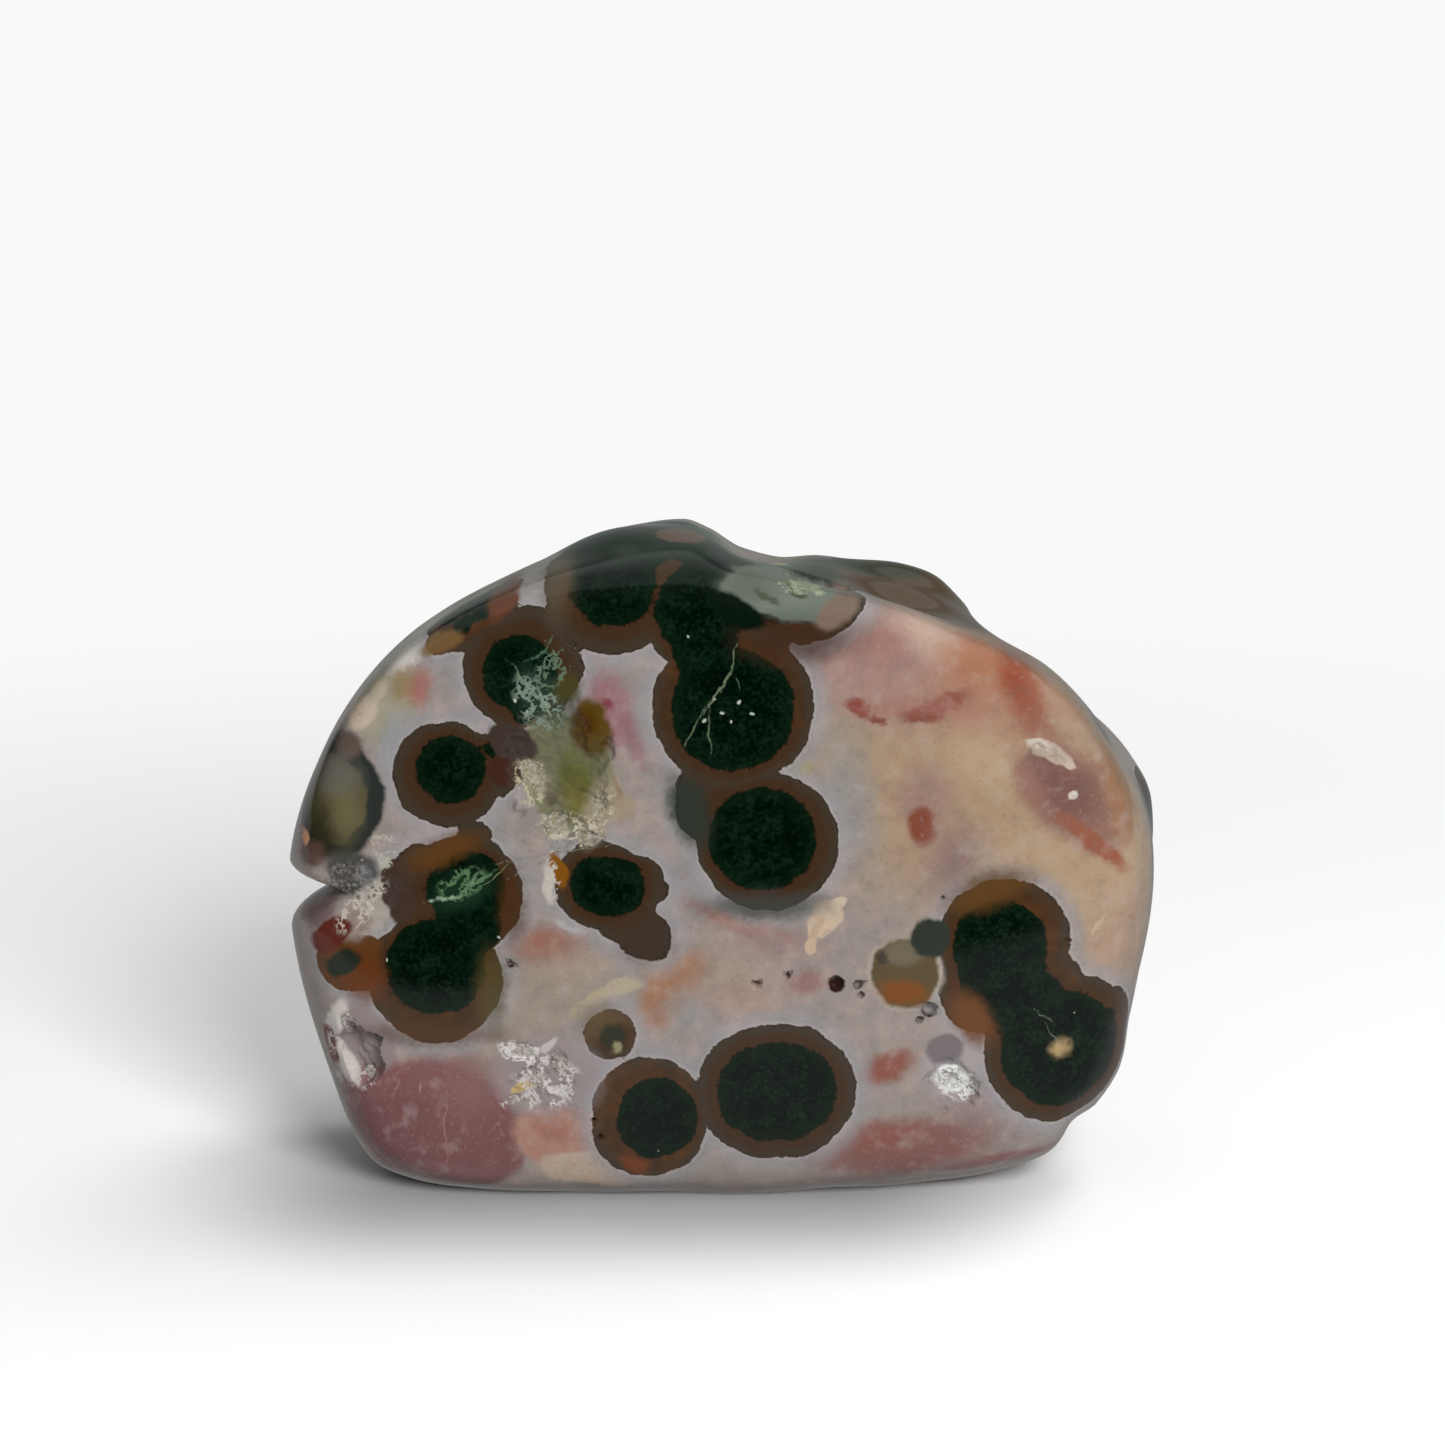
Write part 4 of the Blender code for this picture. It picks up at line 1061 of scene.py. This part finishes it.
def crumb_material(look):
    """Milky quartz that takes the tint of its pocket."""
    material, bench = new_material("pocket_quartz")
    place = stone_place(bench)
    mottle = bench.cloud(place, *CRUMB_MOTTLE)
    ragged = (mottle - 0.5) * 1.2
    colour = bench.blend(mottle.fade(0.4, 0.7, 0.0, 0.5), look.quartz, seen(150, 138, 122))
    for _, middle, half_size, paint in CRUMB_TINTS:
        away = bench.oval(place, middle, half_size) + ragged
        colour = bench.blend(away.fade(1.3, 0.6, 0.0, 0.85), colour, seen(*paint))
    shader = bench.add("ShaderNodeBsdfPrincipled", {},
                       {"Base Color": colour, "Roughness": mottle.fade(0.3, 0.7, 0.25, 0.5),
                        "IOR": QUARTZ_IOR})
    bench.add("ShaderNodeOutputMaterial", {}, {"Surface": shader})
    return material


def put(name, data):
    """A new object in the scene."""
    thing = bpy.data.objects.new(name, data)
    bpy.context.scene.collection.objects.link(thing)
    return thing


def points_of(mesh):
    """The mesh's points in metres, one row each."""
    points = np.zeros(len(mesh.vertices) * 3)
    mesh.vertices.foreach_get("co", points)
    return points.reshape(-1, 3)


def disc_grid(steps):
    """Share of the radius and angle of a square grid's nodes, drawn onto a disc."""
    line = np.linspace(-1.0, 1.0, steps + 1)
    across, up = np.meshgrid(line, line, indexing="ij")
    wide = np.abs(across) > np.abs(up)
    safe_across = np.where(across == 0.0, 1.0, across)
    safe_up = np.where(up == 0.0, 1.0, up)
    reach = np.where(wide, across, up)
    angle = np.where(wide, math.pi / 4.0 * up / safe_across,
                     math.pi / 2.0 - math.pi / 4.0 * across / safe_up)
    angle = np.where(reach < 0.0, angle + math.pi, angle)
    return np.abs(reach), np.mod(angle, math.tau)


def rim_walk(steps):
    """Nodes of the square grid's edge, once round."""
    walk = [(steps, j) for j in range(steps)]
    walk += [(i, steps) for i in range(steps, 0, -1)]
    walk += [(0, j) for j in range(steps, 0, -1)]
    walk += [(i, 0) for i in range(steps)]
    return walk


def skin_of(radius, theta, depth, outlines):
    """Points of the skin for a plain radius, with its lumps and the cleft."""
    outwards = np.clip(radius / outlines[FRONT](theta), 0.0, 1.0)
    radius = radius + side_relief(theta, depth) * outwards ** LUMP_POWER
    radius = radius - cleft(theta, depth) * outwards ** CLEFT_POWER
    return np.stack([radius * np.cos(theta), depth, CENTRE_Z + radius * np.sin(theta)], axis=-1)


def unit_radius(theta):
    return 1.0


def face_points(steps, middle_place, edge_place, outline, outlines):
    """Grid of points over the front or back face."""
    share, theta = disc_grid(steps)
    places = np.linspace(middle_place, edge_place, PROFILE_STEPS)
    profile = [section_point(0.0, place, [unit_radius] * 3) for place in places]
    portions = np.array([radius for radius, _ in profile])
    depths = np.array([depth for _, depth in profile])
    portion = share * portions[-1]
    depth = np.interp(portion, portions, depths)
    return skin_of(portion * outlines[outline](theta), theta, depth, outlines), theta


def skin_mesh(steps):
    """Closed skin: front grid, side rows and back grid."""
    outlines = [radius_of(FRONT_OUTLINE), radius_of(GIRTH_OUTLINE), radius_of(BACK_OUTLINE)]
    front, theta = face_points(steps, 0.0, FRONT_EDGE_PLACE, FRONT, outlines)
    back, _ = face_points(steps, len(SECTION) - 1.0, BACK_EDGE_PLACE, BACK, outlines)
    walk = rim_walk(steps)
    rim_theta = np.array([theta[node] for node in walk])
    points = [front.reshape(-1, 3)]
    wide = steps + 1
    rows = [[i * wide + j for i, j in walk]]
    count = wide * wide
    for place in np.linspace(FRONT_EDGE_PLACE, BACK_EDGE_PLACE, SIDE_ROWS + 1)[1:-1]:
        radius, depth = section_point(rim_theta, place, outlines)
        depth = np.full_like(rim_theta, depth)
        points.append(skin_of(radius, rim_theta, depth, outlines))
        rows.append(list(range(count, count + len(walk))))
        count += len(walk)
    points.append(back.reshape(-1, 3))
    rows.append([count + i * wide + j for i, j in walk])
    faces = []
    for i in range(steps):
        for j in range(steps):
            corner = i * wide + j
            faces.append((corner, corner + wide, corner + wide + 1, corner + 1))
            corner += count
            faces.append((corner, corner + 1, corner + wide + 1, corner + wide))
    for near, far in zip(rows, rows[1:]):
        for index in range(len(walk)):
            after = (index + 1) % len(walk)
            faces.append((near[index], far[index], far[after], near[after]))
    mesh = bpy.data.meshes.new("half_moon_skin")
    mesh.from_pydata(np.concatenate(points).tolist(), [], faces)
    return mesh


def inside_bowl(point, middle, half_size, turn):
    """The point in a bowl's own measure, where one is its skin."""
    local = Matrix.Rotation(-math.radians(turn), 3, "Y") @ (point - Vector(middle))
    return Vector(local[i] / half_size[i] for i in range(3))


def raw_bowls():
    """Every pocket, raw place and pit: middle, half size, turn, whether it is dug, rawness."""
    bowls = [(middle, half_size, turn, True, POCKET_RAWNESS)
             for _, middle, half_size, turn in POCKETS]
    for _, middle, half_size, turn, rawness in RAW_PLACES:
        bowls.append((middle, half_size, turn, False, rawness))
    for x, z, radius in PITS:
        half_size = (radius, PIT_DEPTH, radius)
        bowls.append(((x, FACE_Y - PIT_LIFT, z), half_size, 0.0, True, PIT_RAWNESS))
    return bowls


def carve(skin, relief):
    """Sink the pockets and pits, crumple what is raw, and note how raw each point is."""
    facet = Vector(FACET_NORMAL).normalized()
    ball = Vector(FACET_POINT) + facet * (FACET_BALL - FACET_DEPTH)
    bowls = raw_bowls()
    near = [(Vector(bowl[0]), max(bowl[1]) * FELT_REACH) for bowl in bowls]
    for _ in range(2):
        edges = set()
        for face in skin.faces:
            heart = face.calc_center_median()
            for (middle, reach), bowl in zip(near, bowls):
                if (heart - middle).length < reach:
                    if inside_bowl(heart, *bowl[:3]).length < SPLIT_REACH:
                        edges.update(face.edges)
                        break
        bmesh.ops.subdivide_edges(skin, edges=list(edges), cuts=1, use_grid_fill=True)
    skin.normal_update()
    crust = skin.verts.layers.float.new("crust")
    moves = []
    for vert in skin.verts:
        normal = vert.normal.copy()
        start = vert.co.copy()
        point = start.copy()
        rawness = 0.0
        for (middle, reach), (_, half_size, turn, dug, raw) in zip(near, bowls):
            if (start - middle).length > reach:
                continue
            swell = 1.0 + 0.30 * noise.noise(start * 0.55) + 0.12 * noise.noise(start * 1.7)
            local = inside_bowl(start, middle, half_size, turn)
            away = local.length / swell
            if away < RAW_REACH:
                rawness = max(rawness, raw * min(1.0, (RAW_REACH - away) / RAW_FADE))
            if dug and away < 1.0:
                way = inside_bowl(middle - normal, middle, half_size, turn)
                part = local.dot(way) / way.length_squared
                rest = (local.length_squared - swell * swell) / way.length_squared
                travel = -part + math.sqrt(max(part * part - rest, 0.0))
                point = min(point, start - normal * travel, key=lambda spot: spot.dot(normal))
        if rawness > 0.0:
            rough = noise.fractal(start * 0.9, 1.0, 2.1, 4)
            point -= normal * relief * rawness * (0.75 + rough)
        from_ball = point - ball
        if from_ball.length < FACET_BALL:
            point = ball + from_ball.normalized() * FACET_BALL
        vert[crust] = rawness
        moves.append((vert, point))
    for vert, point in moves:
        vert.co = point


def to_nearest(points, balls):
    """Distance from each point to the nearest of some balls, below zero inside one."""
    found = np.full(len(points), np.inf)
    for middle, radius in balls:
        found = np.minimum(found, np.linalg.norm(points - np.array(middle), axis=1) - radius)
    return found


def note_pattern(mesh):
    """Write on each point how far it lies from hearts, rims and pits, and how rusty it is."""
    points = points_of(mesh) / MM - np.array([SHIFT_X, 0.0, 0.0])
    hearts = [(middle, heart) for middle, heart, _ in HIDDEN_EYES]
    hidden_rims = [(middle, rim) for middle, _, rim in HIDDEN_EYES]
    rims = [(0.0, to_nearest(points, hidden_rims))]
    for _, rust, heart_circles, rim_circles in EYES:
        hearts += face_balls(heart_circles)
        rims.append((rust, to_nearest(points, face_balls(rim_circles))))
    distances = np.array([distance for _, distance in rims])
    rusts = np.array([rust for rust, _ in rims])
    pits = [((x, FACE_Y, z), radius) for x, z, radius in PITS]
    pattern = {"to_heart": to_nearest(points, hearts), "to_rim": distances.min(axis=0),
               "rust": rusts[distances.argmin(axis=0)], "to_pit": to_nearest(points, pits)}
    for name, values in pattern.items():
        layer = mesh.attributes.new(name, "FLOAT", "POINT")
        layer.data.foreach_set("value", values.astype(np.float32))


def stone_object(look):
    """The whole stone as one plain mesh, sawn flat at the base."""
    mesh = skin_mesh(look.grid)
    skin = bmesh.new()
    skin.from_mesh(mesh)
    bmesh.ops.recalc_face_normals(skin, faces=skin.faces[:])
    carve(skin, look.relief / MM)
    bmesh.ops.transform(skin, matrix=PLACE, verts=skin.verts)
    cut = bmesh.ops.bisect_plane(skin, geom=skin.verts[:] + skin.edges[:] + skin.faces[:],
                                 plane_co=(0, 0, 0), plane_no=(0, 0, -1), clear_outer=True)
    rim = [edge for edge in cut["geom_cut"] if isinstance(edge, bmesh.types.BMEdge)]
    base = bmesh.ops.edgeloop_fill(skin, edges=rim)
    bmesh.ops.triangulate(skin, faces=base["faces"])
    bmesh.ops.recalc_face_normals(skin, faces=skin.faces[:])
    skin.to_mesh(mesh)
    skin.free()
    keep_in_box(mesh)
    note_pattern(mesh)
    mesh.shade_smooth()
    mesh.set_sharp_from_angle(angle=SHARP_ANGLE)
    mesh.materials.append(jasper_material(look))
    return put("half_moon_skin", mesh)


def crumb_tree(material):
    """Geometry Nodes that strew small crystals over the raw parts of a skin."""
    tree = bpy.data.node_groups.new("strew_crumbs", "GeometryNodeTree")
    tree.interface.new_socket("Skin", in_out="INPUT", socket_type="NodeSocketGeometry")
    for name, kind in (("Density", "NodeSocketFloat"), ("Size", "NodeSocketFloat"),
                       ("Seed", "NodeSocketInt")):
        tree.interface.new_socket(name, in_out="INPUT", socket_type=kind)
    tree.interface.new_socket("Crumbs", in_out="OUTPUT", socket_type="NodeSocketGeometry")
    bench = Bench(tree)
    skin, density, size, seed = bench.add("NodeGroupInput", {}, {},
                                          ("Skin", "Density", "Size", "Seed"))
    crust = bench.add("GeometryNodeInputNamedAttribute", {"data_type": "FLOAT"},
                      {"Name": "crust"}, "Attribute")
    share = bench.add("ShaderNodeMapRange", {},
                      {"Value": crust, "From Min": CRUMB_CRUST, "From Max": 1.0}, "Result")
    points = bench.add("GeometryNodeDistributePointsOnFaces", {},
                       {"Mesh": skin, "Density": share * density, "Seed": seed}, "Points")
    crystal = bench.add("GeometryNodeMeshIcoSphere", {}, {"Radius": 1.0, "Subdivisions": 1},
                        "Mesh")
    turn = bench.add("FunctionNodeRandomValue", {"data_type": "FLOAT_VECTOR"},
                     {"Min": (0.0, 0.0, 0.0), "Max": (math.tau, math.tau, math.tau),
                      "Seed": seed}, "Value")
    stretch = bench.add("FunctionNodeRandomValue", {"data_type": "FLOAT_VECTOR"},
                        {"Min": CRUMB_LEAST, "Max": CRUMB_MOST, "Seed": seed}, "Value")
    scaled = bench.add("ShaderNodeVectorMath", {"operation": "SCALE"},
                       {"Vector": stretch, "Scale": size}, "Vector")
    strewn = bench.add("GeometryNodeInstanceOnPoints", {},
                       {"Points": points, "Instance": crystal, "Rotation": turn,
                        "Scale": scaled},
                       "Instances")
    real = bench.add("GeometryNodeRealizeInstances", {}, {"Geometry": strewn}, "Geometry")
    flat = bench.add("GeometryNodeSetShadeSmooth", {}, {"Geometry": real, "Shade Smooth": False},
                     "Geometry")
    painted = bench.add("GeometryNodeSetMaterial", {}, {"Geometry": flat, "Material": material},
                        "Geometry")
    bench.add("NodeGroupOutput", {}, {"Crumbs": painted})
    return tree


def set_input(modifier, name, value):
    """Give a Geometry Nodes modifier one of its named inputs."""
    for item in modifier.node_group.interface.items_tree:
        if item.name == name and item.in_out == "INPUT":
            modifier[item.identifier] = value
            return
    raise RuntimeError(f"the node tree has no input named {name}")


def crumbs_object(stone, look):
    """Crystals on the raw parts of the stone, as one plain mesh."""
    carrier = put("crumb_carrier", stone.data)
    strew = carrier.modifiers.new("strew", "NODES")
    strew.node_group = crumb_tree(crumb_material(look))
    set_input(strew, "Density", look.density)
    set_input(strew, "Size", look.size)
    set_input(strew, "Seed", look.seed)
    depsgraph = bpy.context.evaluated_depsgraph_get()
    mesh = bpy.data.meshes.new_from_object(carrier.evaluated_get(depsgraph), depsgraph=depsgraph)
    bpy.data.objects.remove(carrier)
    mesh.name = "pocket_crumbs"
    keep_in_box(mesh)
    return put("pocket_crumbs", mesh)


def keep_in_box(mesh):
    """Pull back any point that stands proud of the CAD's box."""
    points = np.clip(points_of(mesh), np.array(CAD_LOW), np.array(CAD_HIGH))
    mesh.vertices.foreach_set("co", points.ravel().astype(np.float32))
    mesh.update()


def ride_stone(piece):
    """A finished piece rides with the stone and takes its slot."""
    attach(piece, "root")
    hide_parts("half_moon")


class HALFMOON_OT_stone(bpy.types.Operator):
    """Make the polished stone"""

    bl_idname = "halfmoon.stone"
    bl_label = "Stone"

    def execute(self, context):
        ride_stone(stone_object(context.scene.halfmoon_stone))
        return {"FINISHED"}


class HALFMOON_OT_crumbs(bpy.types.Operator):
    """Strew the crystals in the pockets of the stone"""

    bl_idname = "halfmoon.crumbs"
    bl_label = "Crumbs"

    def execute(self, context):
        stone = bpy.data.objects["half_moon_skin"]
        ride_stone(crumbs_object(stone, context.scene.halfmoon_crumbs))
        return {"FINISHED"}


def floor_material(look):
    """Matt paper with a painted shadow along the foot, fading into the backdrop; mirrored in the
    stone it is a dim glowing sheet.
    """
    material, bench = new_material("paper_floor")
    place = bench.add("ShaderNodeTexCoord", {}, {}, "Object")
    distance = bench.vector("LENGTH", place, output="Value")
    mirrored = bench.add("ShaderNodeLightPath", {}, {}, "Is Glossy Ray")
    across, depth = bench.add("ShaderNodeSeparateXYZ", {}, {"Vector": place}, ("X", "Y"))
    sheet = (depth + across * PAPER_SLANT).fade(PAPER_EDGE_Y - PAPER_EDGE_SOFT, PAPER_EDGE_Y)
    # Painted shadow: the paper's colour darkens towards the foot.
    past = bench.vector("SUBTRACT", place, FOOT_SHADE_SPOT)
    past = bench.vector("SUBTRACT", bench.vector("ABSOLUTE", past), FOOT_SHADE_HALF)
    past = bench.vector("MAXIMUM", past, (0.0, 0.0, 0.0))
    apart = bench.vector("LENGTH", past, output="Value")
    shade = (1.0 - apart.fade(0.0, FOOT_SHADE_REACH)) * FOOT_SHADE
    shaded = bench.blend(shade, look.floor, BLACK)
    paper = bench.add("ShaderNodeBsdfDiffuse", {}, {"Color": shaded})
    # The sheet that the polish mirrors glows: a painted reflection of the paper.
    dim = tuple(PAPER_SHEEN * part for part in look.floor)
    sheen = bench.add("ShaderNodeEmission", {}, {"Color": (*dim, 1.0)})
    clear = bench.add("ShaderNodeBsdfTransparent")
    direct = bench.add("ShaderNodeMixShader", {}, {0: distance.fade(FADE_START, FADE_END),
                                                  1: paper, 2: clear})
    reflected = bench.add("ShaderNodeMixShader", {}, {0: sheet, 1: clear, 2: sheen})
    both = bench.add("ShaderNodeMixShader", {}, {0: mirrored, 1: direct, 2: reflected})
    bench.add("ShaderNodeOutputMaterial", {}, {"Surface": both})
    return material


def floor_object(look):
    """Round sheet that the stone stands on."""
    disc = bmesh.new()
    bmesh.ops.create_circle(disc, cap_ends=True, segments=96, radius=FLOOR_RADIUS)
    bmesh.ops.triangulate(disc, faces=disc.faces[:])
    mesh = bpy.data.meshes.new("paper_floor")
    disc.to_mesh(mesh)
    disc.free()
    mesh.materials.append(floor_material(look))
    return put("paper_floor", mesh)


def set_world(look):
    """Plain pale backdrop, even room light, and a dim room for the polish to mirror."""
    world = bpy.data.worlds.new("studio")
    world.use_nodes = True
    bpy.context.scene.world = world
    bench = Bench(world.node_tree)
    camera, mirrored = bench.add("ShaderNodeLightPath", {}, {},
                                 ("Is Camera Ray", "Is Glossy Ray"))
    way = bench.add("ShaderNodeTexCoord", {}, {}, "Generated")
    behind, height = bench.add("ShaderNodeSeparateXYZ", {}, {"Vector": way}, ("Y", "Z"))
    glow = (height.fade(*LOW_SKY) + height.fade(*CEILING)).most(behind.fade(*BACK_WALL))
    room, dusk, backdrop = [
        bench.add("ShaderNodeBackground", {}, {"Color": colour, "Strength": strength})
        for colour, strength in ((WHITE, look.room), (DUSK, glow), (WHITE, look.backdrop))]
    unseen = bench.add("ShaderNodeMixShader", {}, {0: mirrored, 1: room, 2: dusk})
    both = bench.add("ShaderNodeMixShader", {}, {0: camera, 1: unseen, 2: backdrop})
    bench.add("ShaderNodeOutputWorld", {}, {"Surface": both})


def add_softbox(name, spot, side, power, colour):
    """Square lamp that faces the stone and that no camera sees."""
    lamp = bpy.data.lights.new(name, "AREA")
    lamp.size = side
    lamp.energy = power
    lamp.color = colour
    holder = put(name, lamp)
    holder.location = spot
    holder.rotation_euler = (Vector(AIM) - Vector(spot)).to_track_quat("-Z", "Y").to_euler()
    holder.visible_camera = False
    holder.visible_glossy = False


def set_camera(look):
    """Camera at the photo's place: straight at the face and a little down."""
    lens = bpy.data.cameras.new("camera")
    lens.lens = look.lens
    lens.sensor_width = SENSOR_WIDTH
    holder = put("camera", lens)
    back = look.distance * math.cos(look.elevation)
    up = look.distance * math.sin(look.elevation)
    holder.location = (AIM[0], AIM[1] - back, AIM[2] + up)
    holder.rotation_euler = (math.pi / 2.0 - look.elevation, 0.0, 0.0)
    bpy.context.scene.camera = holder


class HALFMOON_OT_stage(bpy.types.Operator):
    """Lay the paper floor and set up the backdrop, the softboxes and the camera"""

    bl_idname = "halfmoon.stage"
    bl_label = "Stage"

    def execute(self, context):
        look = context.scene.halfmoon_stage
        floor_object(look)
        set_world(look)
        add_softbox("key_softbox", KEY_SPOT, KEY_SIDE, look.key, KEY_TINT)
        add_softbox("top_softbox", TOP_SPOT, TOP_SIDE, look.top, TOP_TINT)
        set_camera(look)
        context.scene.view_settings.view_transform = "Standard"
        return {"FINISHED"}


class HALFMOON_PT_panel(bpy.types.Panel):
    """Lists what the half moon is made of"""

    bl_idname = "HALFMOON_PT_panel"
    bl_label = "Ocean jasper half moon"
    bl_space_type = "VIEW_3D"
    bl_region_type = "UI"
    bl_category = "Half moon"

    def draw(self, context):
        scene = context.scene
        for operator, look in ((HALFMOON_OT_stone, scene.halfmoon_stone),
                               (HALFMOON_OT_crumbs, scene.halfmoon_crumbs),
                               (HALFMOON_OT_stage, scene.halfmoon_stage)):
            box = self.layout.box()
            box.operator(operator.bl_idname)
            for name in look.bl_rna.properties.keys():
                if name not in ("rna_type", "name"):
                    box.prop(look, name)


CLASSES = (StoneLook, CrumbLook, StageLook, HALFMOON_OT_stone, HALFMOON_OT_crumbs,
           HALFMOON_OT_stage, HALFMOON_PT_panel)


def register():
    for kind in CLASSES:
        bpy.utils.register_class(kind)
    bpy.types.Scene.halfmoon_stone = PointerProperty(type=StoneLook)
    bpy.types.Scene.halfmoon_crumbs = PointerProperty(type=CrumbLook)
    bpy.types.Scene.halfmoon_stage = PointerProperty(type=StageLook)


def unregister():
    del bpy.types.Scene.halfmoon_stage
    del bpy.types.Scene.halfmoon_crumbs
    del bpy.types.Scene.halfmoon_stone
    for kind in reversed(CLASSES):
        bpy.utils.unregister_class(kind)


def main():
    register()
    bpy.ops.halfmoon.stage()
    bpy.ops.halfmoon.stone()
    bpy.ops.halfmoon.crumbs()


if __name__ == "__main__":
    main()
